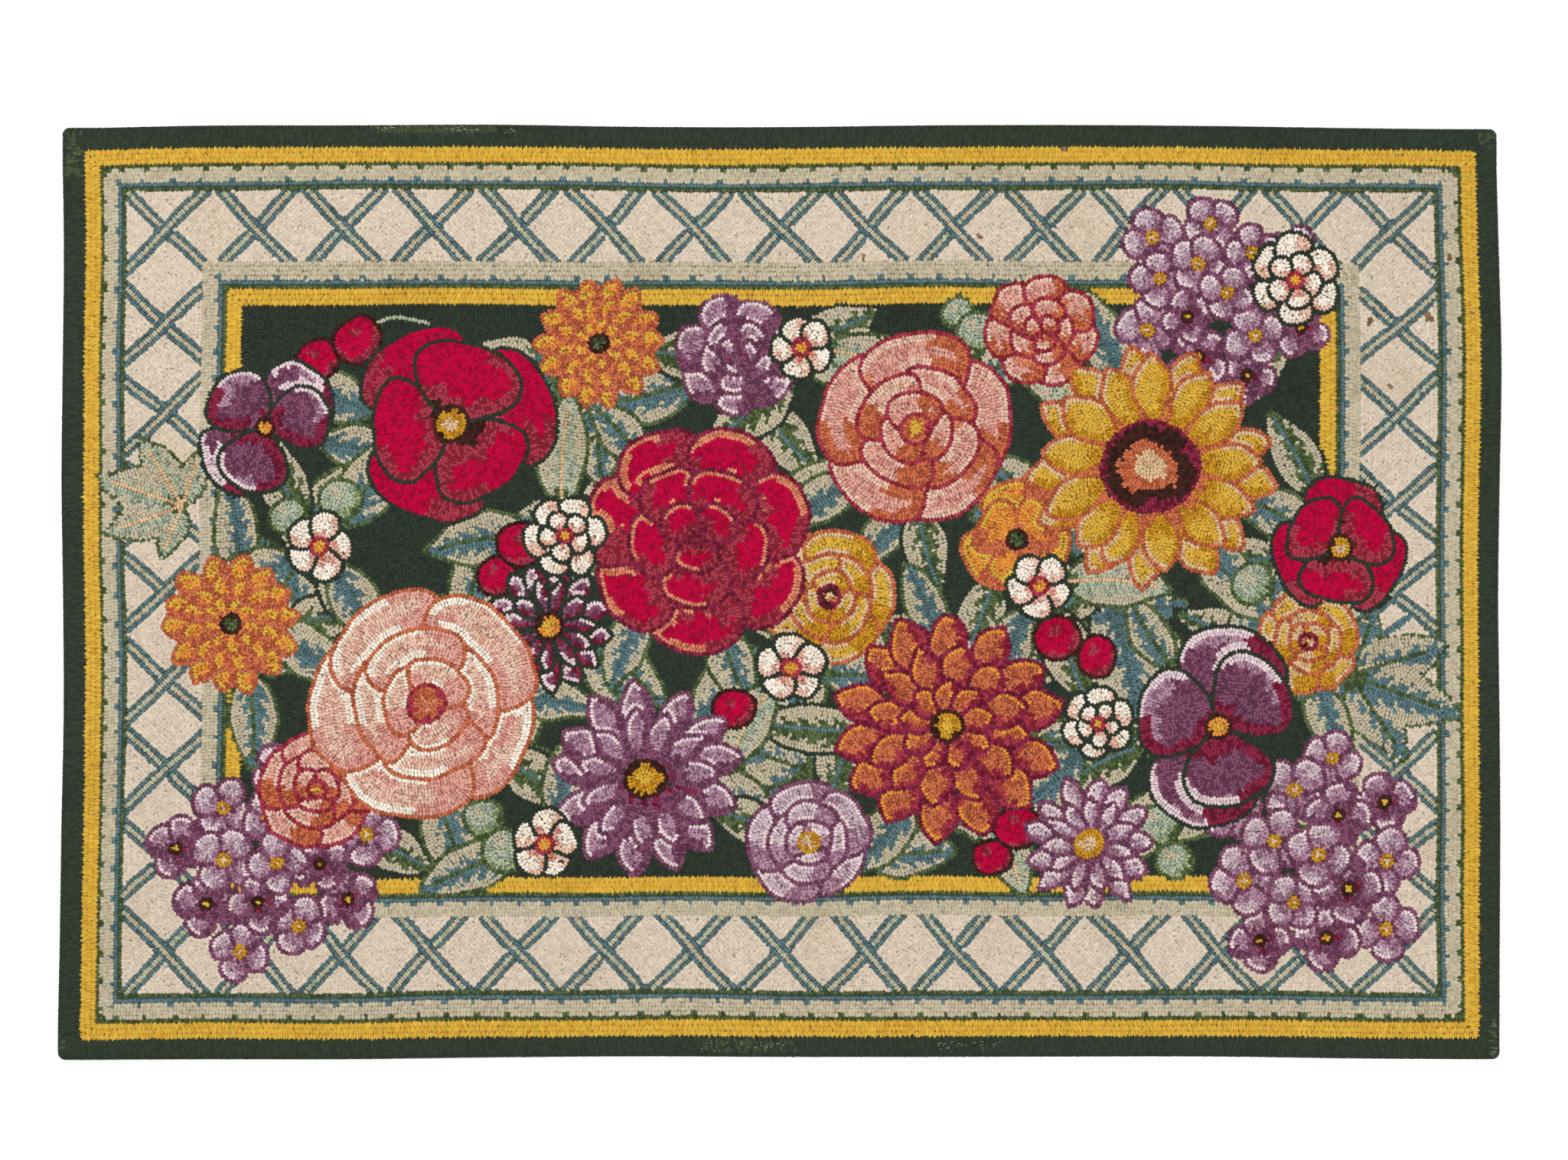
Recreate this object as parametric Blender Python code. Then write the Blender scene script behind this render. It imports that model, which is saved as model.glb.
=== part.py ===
"""A hooked rug, lying flat, in metres with +Z up.

The rug is one piece of cloth: looped wool yarn pulled up through a foundation cloth whose
edge is folded under and whipped. It is modelled as one flat solid that reaches from the
floor to the tops of the loops. Its sides wander a few millimetres out and in, as hand-drawn
work does, its rim is rolled and its top is slightly uneven.
The length runs along X, the width along Y, and the origin is on the floor under the middle.
"""

import math

import bmesh
import bpy

# Driving sizes, in metres.
LENGTH = 1.830
WIDTH = 1.186
PILE_TOP = 0.0082
CORNER_RADIUS = 0.0095

# The top surface swells and dips by this much, in two long waves across each other.
SWELL = 0.00035
SWELL_WAVES_ALONG = 3.5
SWELL_WAVES_ACROSS = 2.3
SWELL_PHASE_ALONG = 0.8
SWELL_PHASE_ACROSS = 0.3

# Grid cells of the top and the underside, and steps in each rounded corner.
CELLS_ALONG = 36
CELLS_ACROSS = 24
CORNER_STEPS = 5

# Faces that meet at more than this are shaded as an edge.
SHARP_ANGLE_DEG = 50

MM = 0.001

# How far the two long edges stand outside their straight lines, in millimetres.
# at: place along the length, from -1 at the left end to 1 at the right end.
LONG_EDGES = (
    {"at": -1.0, "top": -2.4, "bottom": 3.4},
    {"at": -0.8, "top": 1.3, "bottom": 2.5},
    {"at": -0.6, "top": 1.7, "bottom": 2.5},
    {"at": -0.4, "top": 2.6, "bottom": 0.2},
    {"at": -0.2, "top": -0.2, "bottom": -1.2},
    {"at": 0.0, "top": -0.6, "bottom": -0.5},
    {"at": 0.2, "top": 1.6, "bottom": -0.5},
    {"at": 0.4, "top": 2.1, "bottom": -0.9},
    {"at": 0.6, "top": 0.9, "bottom": -1.0},
    {"at": 0.8, "top": -1.9, "bottom": 1.4},
    {"at": 1.0, "top": -3.6, "bottom": 2.5},
)

# How far the two short edges stand outside their straight lines, in millimetres.
# at: place across the width, from -1 at the bottom end to 1 at the top end.
SHORT_EDGES = (
    {"at": -1.0, "left": 7.0, "right": 0.2},
    {"at": -0.75, "left": 4.0, "right": 0.6},
    {"at": -0.5, "left": 1.9, "right": 1.4},
    {"at": -0.25, "left": -1.0, "right": 0.4},
    {"at": 0.0, "left": -0.2, "right": -1.4},
    {"at": 0.25, "left": 1.8, "right": 0.6},
    {"at": 0.5, "left": 0.2, "right": 2.9},
    {"at": 0.75, "left": -1.2, "right": -0.8},
    {"at": 1.0, "left": 1.0, "right": -4.6},
)

# The rolled rim, from the floor up: how far each ring lies inside the edge, and its height.
RIM = (
    {"inset": 0.0022, "height": 0.0},
    {"inset": 0.0006, "height": 0.0012},
    {"inset": 0.0, "height": 0.0034},
    {"inset": 0.0010, "height": 0.0060},
    {"inset": 0.0032, "height": 0.0076},
)

# Where the flat grids of the top and the underside begin, inside the edge.
GRID_INSET = 0.012

WOOL_GREEN = (0.036, 0.047, 0.034, 1.0)


def edge_offset(table, column, at):
    """Read one edge's offset in metres at a place along it, on a smooth curve."""
    last = len(table) - 1
    step = 0
    while step < last - 1 and at > table[step + 1]["at"]:
        step += 1
    before = table[max(step - 1, 0)][column]
    start = table[step][column]
    end = table[step + 1][column]
    after = table[min(step + 2, last)][column]
    span = table[step + 1]["at"] - table[step]["at"]
    t = (at - table[step]["at"]) / span
    slope_start = (end - before) / 2
    slope_end = (after - start) / 2
    value = ((2 * t ** 3 - 3 * t ** 2 + 1) * start + (t ** 3 - 2 * t ** 2 + t) * slope_start
             + (3 * t ** 2 - 2 * t ** 3) * end + (t ** 3 - t ** 2) * slope_end)
    return value * MM


def long_side(u, side):
    """Y of the top edge (side 1) or the bottom edge (side -1), at -1 to 1 along the length."""
    column = "top" if side > 0 else "bottom"
    return side * (WIDTH / 2 + edge_offset(LONG_EDGES, column, u))


def short_side(v, side):
    """X of the right edge (side 1) or the left edge (side -1), at -1 to 1 across the width."""
    column = "right" if side > 0 else "left"
    return side * (LENGTH / 2 + edge_offset(SHORT_EDGES, column, v))


def place(u, v, inset):
    """A point of the rug's plan: u and v run from -1 to 1 between edges moved in by inset."""
    left = short_side(v, -1) + inset
    right = short_side(v, 1) - inset
    bottom = long_side(u, -1) + inset
    top = long_side(u, 1) - inset
    x = left + (right - left) * (u + 1) / 2
    y = bottom + (top - bottom) * (v + 1) / 2
    return x, y


def side_stations(cells):
    """Places along an edge, from -1 to 1."""
    return [-1 + 2 * step / cells for step in range(cells + 1)]


def corner(u_side, v_side, inset):
    """The points round one corner, counter-clockwise, as an arc of what is left of its radius."""
    x, y = place(u_side, v_side, inset)
    radius = max(CORNER_RADIUS - inset, 0.0)
    centre_x = x - u_side * radius
    centre_y = y - v_side * radius
    start = {(1, -1): -90, (1, 1): 0, (-1, 1): 90, (-1, -1): 180}[(u_side, v_side)]
    points = []
    for step in range(CORNER_STEPS + 1):
        angle = math.radians(start + 90 * step / CORNER_STEPS)
        points.append((centre_x + radius * math.cos(angle), centre_y + radius * math.sin(angle)))
    return points


def outline(inset):
    """The rug's outline moved in by inset, counter-clockwise from the bottom right corner."""
    along = side_stations(CELLS_ALONG)[1:-1]
    across = side_stations(CELLS_ACROSS)[1:-1]
    points = corner(1, -1, inset)
    points += [place(1, v, inset) for v in across]
    points += corner(1, 1, inset)
    points += [place(u, 1, inset) for u in reversed(along)]
    points += corner(-1, 1, inset)
    points += [place(-1, v, inset) for v in reversed(across)]
    points += corner(-1, -1, inset)
    points += [place(u, -1, inset) for u in along]
    return points


def swell(x, y):
    """The slight unevenness of the top surface."""
    along = math.sin(2 * math.pi * SWELL_WAVES_ALONG * x / LENGTH + SWELL_PHASE_ALONG)
    across = math.cos(2 * math.pi * SWELL_WAVES_ACROSS * y / WIDTH + SWELL_PHASE_ACROSS)
    return SWELL * along * across


def add_grid(mesh, height_at, facing_up):
    """Add one flat grid of the plan inside the rim, and give its border as a ring of points."""
    across = side_stations(CELLS_ACROSS)
    along = side_stations(CELLS_ALONG)
    rows = []
    for v in across:
        row = []
        for u in along:
            x, y = place(u, v, GRID_INSET)
            row.append(mesh.verts.new((x, y, height_at(x, y))))
        rows.append(row)
    for lower, upper in zip(rows, rows[1:]):
        for cell in range(CELLS_ALONG):
            corners = [lower[cell], lower[cell + 1], upper[cell + 1], upper[cell]]
            if not facing_up:
                corners.reverse()
            mesh.faces.new(corners)
    arc = CORNER_STEPS + 1
    ring = [rows[0][-1]] * arc
    ring += [row[-1] for row in rows[1:-1]]
    ring += [rows[-1][-1]] * arc
    ring += list(reversed(rows[-1][1:-1]))
    ring += [rows[-1][0]] * arc
    ring += [row[0] for row in reversed(rows[1:-1])]
    ring += [rows[0][0]] * arc
    ring += rows[0][1:-1]
    return ring


def join_rings(mesh, lower, upper):
    """Close the strip between two rings, with a triangle where two points of a ring are one."""
    count = len(lower)
    for step in range(count):
        following = (step + 1) % count
        face = []
        for point in (lower[step], lower[following], upper[following], upper[step]):
            if point not in face:
                face.append(point)
        if len(face) > 2:
            mesh.faces.new(face)


def wool_material():
    """Looped wool pile: matt, and dark green where it shows at the rim."""
    material = bpy.data.materials.new("Looped wool pile")
    material.use_nodes = True
    shader = material.node_tree.nodes["Principled BSDF"]
    shader.inputs["Base Color"].default_value = WOOL_GREEN
    shader.inputs["Roughness"].default_value = 0.95
    shader.inputs["Metallic"].default_value = 0.0
    return material


def build_rug():
    """Build the rug: the underside, the rolled rim and the uneven top, as one closed solid."""
    mesh = bmesh.new()
    rings = [add_grid(mesh, lambda x, y: 0.0, facing_up=False)]
    for row in RIM:
        points = outline(row["inset"])
        rings.append([mesh.verts.new((x, y, row["height"])) for x, y in points])
    rings.append(add_grid(mesh, lambda x, y: PILE_TOP + swell(x, y), facing_up=True))
    for lower, upper in zip(rings, rings[1:]):
        join_rings(mesh, lower, upper)

    xs = [point.co.x for point in mesh.verts]
    ys = [point.co.y for point in mesh.verts]
    middle = ((min(xs) + max(xs)) / 2, (min(ys) + max(ys)) / 2, 0.0)
    bmesh.ops.translate(mesh, verts=mesh.verts, vec=[-value for value in middle])

    data = bpy.data.meshes.new("rug")
    mesh.to_mesh(data)
    mesh.free()
    data.materials.append(wool_material())
    data.shade_smooth()
    data.set_sharp_from_angle(angle=math.radians(SHARP_ANGLE_DEG))
    rug = bpy.data.objects.new("rug", data)
    bpy.context.scene.collection.objects.link(rug)
    return rug


def main():
    """Clear the scene and build the rug."""
    for thing in list(bpy.data.objects):
        bpy.data.objects.remove(thing)
    build_rug()


main()
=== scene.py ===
"""Looks of the hooked rug: its foundation cloth, its looped wool pile and its whipped edge.

The rug is drawn flat in millimetres, as a hooker draws on the foundation cloth: bands, a
trellis and a field of flowers. Rows of loops then follow the drawing's outlines, and every
loop is a small closed grain of wool in its yarn's colour.
"""

import functools
import math

import bpy
import numpy as np
from bpy.props import FloatProperty, FloatVectorProperty, IntProperty, PointerProperty
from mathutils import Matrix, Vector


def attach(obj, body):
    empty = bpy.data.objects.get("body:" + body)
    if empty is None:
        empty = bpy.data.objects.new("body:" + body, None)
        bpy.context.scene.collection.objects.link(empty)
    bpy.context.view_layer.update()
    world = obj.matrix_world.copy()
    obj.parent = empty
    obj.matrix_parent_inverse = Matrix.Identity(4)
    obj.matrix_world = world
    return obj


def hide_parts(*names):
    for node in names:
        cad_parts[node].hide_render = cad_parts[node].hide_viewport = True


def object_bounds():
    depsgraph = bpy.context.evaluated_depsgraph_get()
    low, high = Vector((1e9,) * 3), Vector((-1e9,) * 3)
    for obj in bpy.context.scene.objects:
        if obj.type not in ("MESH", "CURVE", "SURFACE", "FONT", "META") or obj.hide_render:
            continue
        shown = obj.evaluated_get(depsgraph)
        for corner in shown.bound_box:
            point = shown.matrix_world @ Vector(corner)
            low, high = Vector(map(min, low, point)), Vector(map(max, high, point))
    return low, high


bl_info = {
    "name": "Hooked Rug",
    "version": (1, 0, 0),
    "blender": (4, 5, 0),
    "location": "3D View > Sidebar > Hooked Rug",
    "description": "A hooked wool rug with bands, a trellis and a field of flowers",
    "category": "Object",
}

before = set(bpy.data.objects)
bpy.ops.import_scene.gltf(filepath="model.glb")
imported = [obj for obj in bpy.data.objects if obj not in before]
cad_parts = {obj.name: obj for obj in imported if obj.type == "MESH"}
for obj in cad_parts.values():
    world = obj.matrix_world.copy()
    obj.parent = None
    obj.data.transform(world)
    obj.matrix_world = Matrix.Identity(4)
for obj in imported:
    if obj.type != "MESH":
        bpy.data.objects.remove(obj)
CAD_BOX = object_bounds()
LOW, HIGH = np.array(CAD_BOX[0])[:2], np.array(CAD_BOX[1])[:2]

MM = 0.001
BODY = "root"
CAD_RUG = "rug"

# The photograph's frame: the width of floor that it takes in and the place straight under
# the camera.
VIEW_WIDTH = 1.996
VIEW_CENTRE = (0.00585, 0.0156)

# The drawing is made on a straight rectangle, in millimetres.
DRAWN_LENGTH = 1830.0
DRAWN_WIDTH = 1186.0
CORNER_RADIUS = 9.5
CELL = 1.5
# Seeds of the random draws.
SEED = 11
TRELLIS_SEED = SEED + 1
PILE_SEED = SEED + 5
EDGE_SEED = SEED + 6
WANDER_SEEDS = (SEED + 50, SEED + 51)


def table(columns, *rows):
    """A table's rows, each as a dict under the names of its columns."""
    return tuple(dict(zip(columns.split(), row)) for row in rows)


def named_table(columns, rows):
    """A table whose rows have names, each row as a dict under the names of its columns."""
    return {name: dict(zip(columns.split(), row)) for name, row in rows.items()}


# The yarns. Each is a main colour with flecks of a second one in some of its loops.
YARNS = named_table("main fleck share", {
    "border green": ("#283026", "#242b22", 0.35),
    "field green": ("#252d24", "#202720", 0.35),
    "gold": ("#ad8a31", "#a57f2a", 0.35),
    "moss": ("#465333", "#313e22", 0.4),
    "olive": ("#414d2c", "#323b20", 0.4),
    "teal": ("#4b6266", "#3f565a", 0.4),
    "slate": ("#405556", "#364b4c", 0.4),
    "sage": ("#8e937e", "#757f6e", 0.4),
    "beige": ("#9b927c", "#918873", 0.35),
    "ivory": ("#ac9f8e", "#a69988", 0.35),
    "white": ("#c5bcb0", "#b9ad9e", 0.3),
    "crimson": ("#9b0030", "#840025", 0.3),
    "maroon": ("#862b3a", "#6c1924", 0.4),
    "wine": ("#6f1d35", "#540f23", 0.4),
    "brown": ("#341b15", "#26120e", 0.35),
    "plum": ("#673c52", "#512b3e", 0.4),
    "mauve": ("#8e6d7d", "#745364", 0.4),
    "lilac": ("#a29097", "#8e7982", 0.4),
    "pale lilac": ("#b8a6a8", "#a9969b", 0.35),
    "pink": ("#b28376", "#a16b61", 0.4),
    "blush": ("#b89a89", "#a9806f", 0.35),
    "coral": ("#af6d53", "#9b5840", 0.4),
    "rust": ("#a15739", "#8a432a", 0.4),
    "orange": ("#b57530", "#a66427", 0.35),
    "amber": ("#a1731b", "#8b6214", 0.35),
    "tan": ("#af9471", "#9e8061", 0.35),
    "leaf green": ("#7d8767", "#616e4e", 0.4),
    "dark olive": ("#3a3f2d", "#323728", 0.45),
    "stain": ("#725a43", "#5e4733", 0.45),
})
YARN_NAMES = tuple(YARNS)

# Kinds of loops: their spacing along a row and the loop's length, width and height in
# millimetres, how much it turns out of line in radians, how far it strays across its row, and
# how far it stands above the rest. Strands are also staggered, and scuffs are frayed bits of
# yarn that lie on worn places.
LOOP_KINDS = named_table("pitch length width height unrest stray proud", {
    "row": (4.2, 9.6, 6.8, 1.5, 0.22, 0.35, 0.12),
    "ground": (4.2, 10.4, 9.6, 1.1, 0.5, 1.1, -0.2),
    "band": (4.2, 10.0, 8.8, 1.1, 0.35, 0.7, -0.2),
    "strand": (3.1, 12.4, 6.6, 1.0, 0.1, 0.7, 0.0),
    "bar": (3.4, 7.6, 5.8, 1.4, 0.2, 0.4, 0.12),
    "core": (3.6, 10.6, 6.2, 1.3, 0.2, 0.4, 0.22),
    "scuff": (3.0, 3.8, 1.5, 1.0, 0.2, 0.0, 0.45),
})
KIND_NAMES = tuple(LOOP_KINDS)
# Kinds that are hooked evenly, so that no loop of theirs is left out or added.
EVEN_KINDS = ("strand", "bar", "core")

# The bands from the edge inwards: rows of loops, and how far the inner side lies inside
# each edge of the rug, in millimetres.
BANDS = table("yarn kind rows left right top bottom",
    ("border green", "strand", 4, 28.5, 27.0, 28.5, 26.3),
    ("gold", "strand", 3, 48.2, 45.8, 47.7, 46.8),
    ("olive", "bar", 1, 52.2, 50.7, 52.6, 52.2),
    ("beige", "band", 4, 69.9, 69.2, 71.1, 72.6),
    ("teal", "bar", 1, 76.2, 75.6, 77.2, 79.4),
    ("moss", "bar", 1, 81.3, 81.6, 83.1, 85.2),
    ("ivory", "ground", 0, 176.8, 180.2, 173.4, 180.2),
    ("beige", "band", 4, 196.3, 199.0, 197.0, 198.7),
    ("teal", "bar", 1, 203.4, 205.4, 203.4, 205.7),
    ("moss", "bar", 1, 208.6, 211.0, 208.6, 211.0),
    ("gold", "strand", 3, 227.2, 230.9, 228.8, 229.8))
SIDES = ("left", "right", "top", "bottom")
# How far the whipping reaches in from the edge.
WHIPPED = dict.fromkeys(SIDES, 5.4)
TRELLIS_BAND = 6

# Cusps of the neighbour's yarn in the beige bands: band, row, yarn, length and phase.
TEETH = table("band row yarn length phase",
    (3, 0, "moss", 7.2, 0.0),
    (3, 3, "teal", 6.6, 5.0),
    (7, 3, "teal", 6.6, 16.0))
CUSP_YARNS = ("moss", "teal")
TOOTH_PITCH = 35.0
TOOTH_WANDER = 5.0
TOOTH_WANDER_OVER = 61.0
# How much the cusps differ in length, as a share of it.
TOOTH_UNLIKE = 0.35
# What mixes up the lengths of the cusps along a band.
TOOTH_MIX = 3.1
# The outer beige band has round corners, with moss outside them.
ROUND_BAND = 3
ROUND_RADIUS = 19.0

# The trellis: crossings along and down the rug, and the spacing of a bar's three rows.
TRELLIS_ALONG = 15
TRELLIS_DOWN = 9
BAR_ROW = 6.1
BAR_WANDER = 2.2
# How far beside its corner of the trellis a bar's outer and inner end lie.
BAR_OUTER = 10.8
BAR_INNER = 15.2
# How far a bar's rows reach past its ends and how far they sway over what length, all in
# millimetres, their points, and the range of the sway's phases in radians.
BAR_PAST = 6.0
BAR_SWAY = 1.1
BAR_SWAY_OVER = 23.0
BAR_POINTS = 14
BAR_PHASES = (0, 6)
# How much wider than their spacing a bar's rows are drawn.
BAR_OVERLAP = 0.3
# A bar's rows: their places, and two yarns with the share of the second.
BAR_SIDE_YARNS = ("teal", "slate", 0.15)
BAR_ROWS = table("place yarns kind",
    (-1, BAR_SIDE_YARNS, "bar"),
    (0, ("sage", "beige", 0.65), "core"),
    (1, BAR_SIDE_YARNS, "bar"))

# Dark spots and worn places that the rug has collected, in millimetres from its middle.
SPOTS = table("at radius",
    ((253, 452), 4.5), ((104, 422), 5), ((824, 353), 5.5), ((852, 430), 4), ((747, 346), 4.5),
    ((725, 376), 4), ((880, 358), 4), ((362, 561), 5), ((772, 263), 4))
SPOT_SHARE = 0.8
WORN_YARN = "dark olive"
WORN = table("at reach share",
    ((-440, 590), (80, 8), 0.85), ((-901, 560), (11, 30), 0.55), ((905, 582), (14, 14), 0.45),
    ((908, -566), (7, 26), 0.6), ((-912, -573), (9, 10), 0.6), ((-40, -578), (66, 9), 0.35))
# Frayed places, where short pale bits of yarn and cloth lie along the edge.
FRAYED = table("at reach bits",
    ((-492, 588), (20, 2), 12), ((-407, 587), (26, 3), 22), ((-343, 584), (8, 3), 8),
    ((-900, 561), (8, 12), 8), ((-42, -580), (58, 6), 34), ((241, -578), (42, 5), 30),
    ((906, -566), (5, 20), 10))
FRAYED_YARNS = ("leaf green", "leaf green", "sage")


# Yarn choices

# The side that the pictured light comes from, in degrees from the rug's length.
LIGHT_FROM = 125.0
# How wide one row of loops is in the drawing, in millimetres.
ROW_WIDTH = 4.7
# Waves of an unsteady hand: how many are added up, their lengths as shares of the mean one,
# and what their sum is divided by.
WAVE_COUNT = 6
WAVE_LENGTHS = (0.7, 1.7)
WAVE_SUM = 2.4
# A petal or leaf that turns by less than this, in degrees, is straight.
STRAIGHT = 0.5
# How far shading runs up and down between a petal's streaks, as a share of its length.
PETAL_STREAKS = 0.09
# Ripples across and along a petal. Each wave has a height, radians to the petal's half width
# or length, and how much the seed moves it.
ACROSS_WAVES = ((0.6, 7.0, 1.0), (0.4, 17.0, 2.3))
ALONG_WAVES = ((0.6, 13.0, 1.0), (0.4, 31.0, 1.7))
# The width of petal from which its lit rim is wider than a row, in millimetres.
WIDE_PETAL = 100.0
# How wide a petal's dark side is at most, in millimetres.
DARK_SIDE = 12.0
# Each of these is a mean and how much ripples change it: the dark side's share of the petal's
# width and of DARK_SIDE, where across the petal it ends, how much wider a wide petal's lit
# rim is, and where along and across the petal the rim begins.
DARK_WIDTH = (0.15, 0.07)
DARK_MOST = (1, 0.35)
DARK_ACROSS = (-0.20, 0.12)
RIM_WIDER = (0.6, 0.5)
RIM_ALONG = (0.52, 0.06)
RIM_ACROSS = (-0.25, 0.1)
# Spacing of a leaf's flames in millimetres, how they slant, and how much the seed moves them.
FLAME_PITCH = 25.0
FLAME_SLANT = 0.40
FLAME_MOVED = 0.37
# Means and their changes: how far flames reach on the leaf's lit and shaded half, how they
# shorten along it, and how far along it the base is dark. The base slants too.
FLAMES_LIT = (0.06, 0.52)
FLAMES_SHADED = (0.34, 0.52)
FLAMES_ALONG = (1.15, -0.72)
LEAF_BASE = (0.16, 0.14)
BASE_SLANT = 0.5
# Round things: how far off their middle the lightest place is and how long their waves are,
# as shares of their radius, and how much single loops differ.
ROUND_LIGHT = 0.36
ROUND_WAVES = 0.7
ROUND_GRAIN = 0.03


def waves(x, y, size, seed):
    """Smooth values from about -1 to 1 that change over size millimetres."""
    draw = np.random.default_rng(seed)
    total = np.zeros(np.shape(x))
    for _ in range(WAVE_COUNT):
        angle = draw.uniform(0, 2 * math.pi)
        length = size * draw.uniform(*WAVE_LENGTHS)
        phase = draw.uniform(0, 2 * math.pi)
        total += np.sin((x * math.cos(angle) + y * math.sin(angle)) * 2 * math.pi / length + phase)
    return total / WAVE_SUM


def ripple(value, seed, parts):
    """Sine waves of a value, added up."""
    return sum(high * np.sin(value * fast + moved * seed) for high, fast, moved in parts)


def about(pair, change):
    """A mean and its change."""
    return pair[0] + pair[1] * change


def beside(at, far, angle):
    """The place that lies far from another in a direction."""
    a = math.radians(angle)
    return at[0] + far * math.cos(a), at[1] + far * math.sin(a)


def graded(value, names):
    """The yarns of names in steps as value goes from 0 to 1."""
    numbers = np.array([YARN_NAMES.index(name) for name in names])
    return numbers[np.clip((value * len(names)).astype(int), 0, len(names) - 1)]


def one_yarn(name):
    """A whole area in one yarn."""
    def paint(x, y, deep, draw):
        return np.full(len(x), YARN_NAMES.index(name))
    return paint


def two_yarns(first, second, share):
    """Loops of a second yarn scattered among the first."""
    numbers = YARN_NAMES.index(second), YARN_NAMES.index(first)
    def paint(x, y, deep, draw):
        return np.where(draw.random(len(x)) < share, *numbers)
    return paint


def place_in(x, y, at, angle, length, width, bend=0.0):
    """Places as shares of a petal's or leaf's length and half width, from its base."""
    a = math.radians(angle)
    dx, dy = x - at[0], y - at[1]
    along = dx * math.cos(a) + dy * math.sin(a)
    across = dy * math.cos(a) - dx * math.sin(a)
    if abs(bend) >= STRAIGHT:
        k = math.radians(bend) / length
        way = math.copysign(1.0, k)
        turn = np.arctan2(way * along, way * (1 / k - across))
        across = 1 / k - way * np.hypot(along, 1 / k - across)
        along = turn / k
    return along / length, across / (width / 2)


def lit_side(angle):
    """1 if the left side of what points along an angle is lit, or else -1."""
    return 1.0 if math.sin(math.radians(LIGHT_FROM - angle)) >= 0 else -1.0


def petal_yarns(at, angle, length, width, way, lift, seed):
    """Shading along a petal, with a dark side and a lit rim that follow its outline."""
    side = lit_side(angle)
    def paint(x, y, deep, draw):
        along, across = place_in(x, y, at, angle, length, width)
        across = across * side
        streak = ripple(across, seed, ACROSS_WAVES)
        reach = ripple(along, seed, ALONG_WAVES)
        found = graded(along + lift + PETAL_STREAKS * streak, way["petal"])
        side_deep = np.minimum(width * about(DARK_WIDTH, reach), DARK_SIDE * about(DARK_MOST, reach))
        dark = (across < about(DARK_ACROSS, reach)) & (deep < side_deep)
        found[dark] = YARN_NAMES.index(way["dark"])
        rim = ROW_WIDTH * (1 + (width > WIDE_PETAL) * about(RIM_WIDER, reach))
        lit = (deep < rim) & (along > about(RIM_ALONG, streak)) & (across > about(RIM_ACROSS, reach))
        found[lit] = YARN_NAMES.index(way["light"])
        return found
    return paint


def leaf_yarns(at, angle, length, width, bend, way, seed):
    """A pale blade with flames of a darker yarn that reach outwards from its midrib."""
    side = lit_side(angle)
    def paint(x, y, deep, draw):
        along, across = place_in(x, y, at, angle, length, width, bend)
        wide = np.abs(across)
        turn = (length / FLAME_PITCH) * (along - FLAME_SLANT * wide) + seed * FLAME_MOVED
        spike = 1 - 2 * np.abs(turn - np.floor(turn) - 0.5)
        reach = np.where(across * side > 0, about(FLAMES_LIT, spike), about(FLAMES_SHADED, spike))
        found = np.full(len(x), YARN_NAMES.index(way["pale"]))
        found[wide < reach * about(FLAMES_ALONG, along)] = YARN_NAMES.index(way["flame"])
        found[along + BASE_SLANT * wide < about(LEAF_BASE, spike)] = YARN_NAMES.index(way["base"])
        return found
    return paint


def round_yarns(at, reach, names, light, ragged, seed):
    """Shading of a ball or disc, in steps outwards from its lightest place."""
    off = ROUND_LIGHT * light
    def paint(x, y, deep, draw):
        dx = (x - at[0]) / reach - off * math.cos(math.radians(LIGHT_FROM))
        dy = (y - at[1]) / reach - off * math.sin(math.radians(LIGHT_FROM))
        value = np.hypot(dx, dy) / (1 + off)
        value = value + ragged * waves(x, y, reach * ROUND_WAVES, seed)
        return graded(value + ROUND_GRAIN * draw.normal(size=len(x)), names)
    return paint


# Shapes, as closed outlines or lines of points

# Points along each side of a petal or leaf, and round an oval.
BLADE_POINTS = 15
OVAL_POINTS = 30
# A notch in a petal's tip: its width as a share of the petal's, and where it begins.
NOTCH_WIDTH = 0.30
NOTCH_FROM = 0.6
# The length in millimetres over which a drawn line wanders.
UNSTEADY_OVER = 45.0
# Stand-ins for no distance and for a very long one.
TINY = 1e-9
FAR = 1e9


def turned(points, angle, at):
    """Turn points about the origin, then move them to a place."""
    a = math.radians(angle)
    p = np.asarray(points, float)
    x = p[:, 0] * math.cos(a) - p[:, 1] * math.sin(a) + at[0]
    y = p[:, 0] * math.sin(a) + p[:, 1] * math.cos(a) + at[1]
    return np.stack([x, y], 1)


def bent(points, length, bend):
    """Bend what lies along +X so that its far end turns by bend degrees."""
    p = np.asarray(points, float)
    if abs(bend) < STRAIGHT:
        return p
    k = math.radians(bend) / length
    x = np.sin(k * p[:, 0]) * (1 / k - p[:, 1])
    y = (1 - np.cos(k * p[:, 0])) / k + p[:, 1] * np.cos(k * p[:, 0])
    return np.stack([x, y], 1)


def blade(length, width, full, widest, notch=0.0):
    """A petal or leaf along +X: full rounds its sides, widest moves its broad part."""
    t = (1 - np.cos(np.linspace(0, math.pi, BLADE_POINTS))) / 2
    half = width / 2 * np.sin(math.pi * t ** widest) ** full
    tip = notch * length * np.exp(-(half / (width * NOTCH_WIDTH)) ** 2) * (t > NOTCH_FROM)
    upper = np.stack([t * length - tip, half], 1)
    lower = np.stack([t * length - tip, -half], 1)[::-1]
    return np.concatenate([upper, lower[1:-1]])


def oval(wide, high):
    """An oval about the origin."""
    a = np.linspace(0, 2 * math.pi, OVAL_POINTS, endpoint=False)
    return np.stack([np.cos(a) * wide / 2, np.sin(a) * high / 2], 1)


def unsteady(points, amount, seed):
    """The same points, moved a little as a hand-drawn line wanders."""
    dx = waves(points[:, 0], points[:, 1], UNSTEADY_OVER, seed)
    dy = waves(points[:, 0], points[:, 1], UNSTEADY_OVER, seed + 1)
    return points + amount * np.stack([dx, dy], 1)


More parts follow.
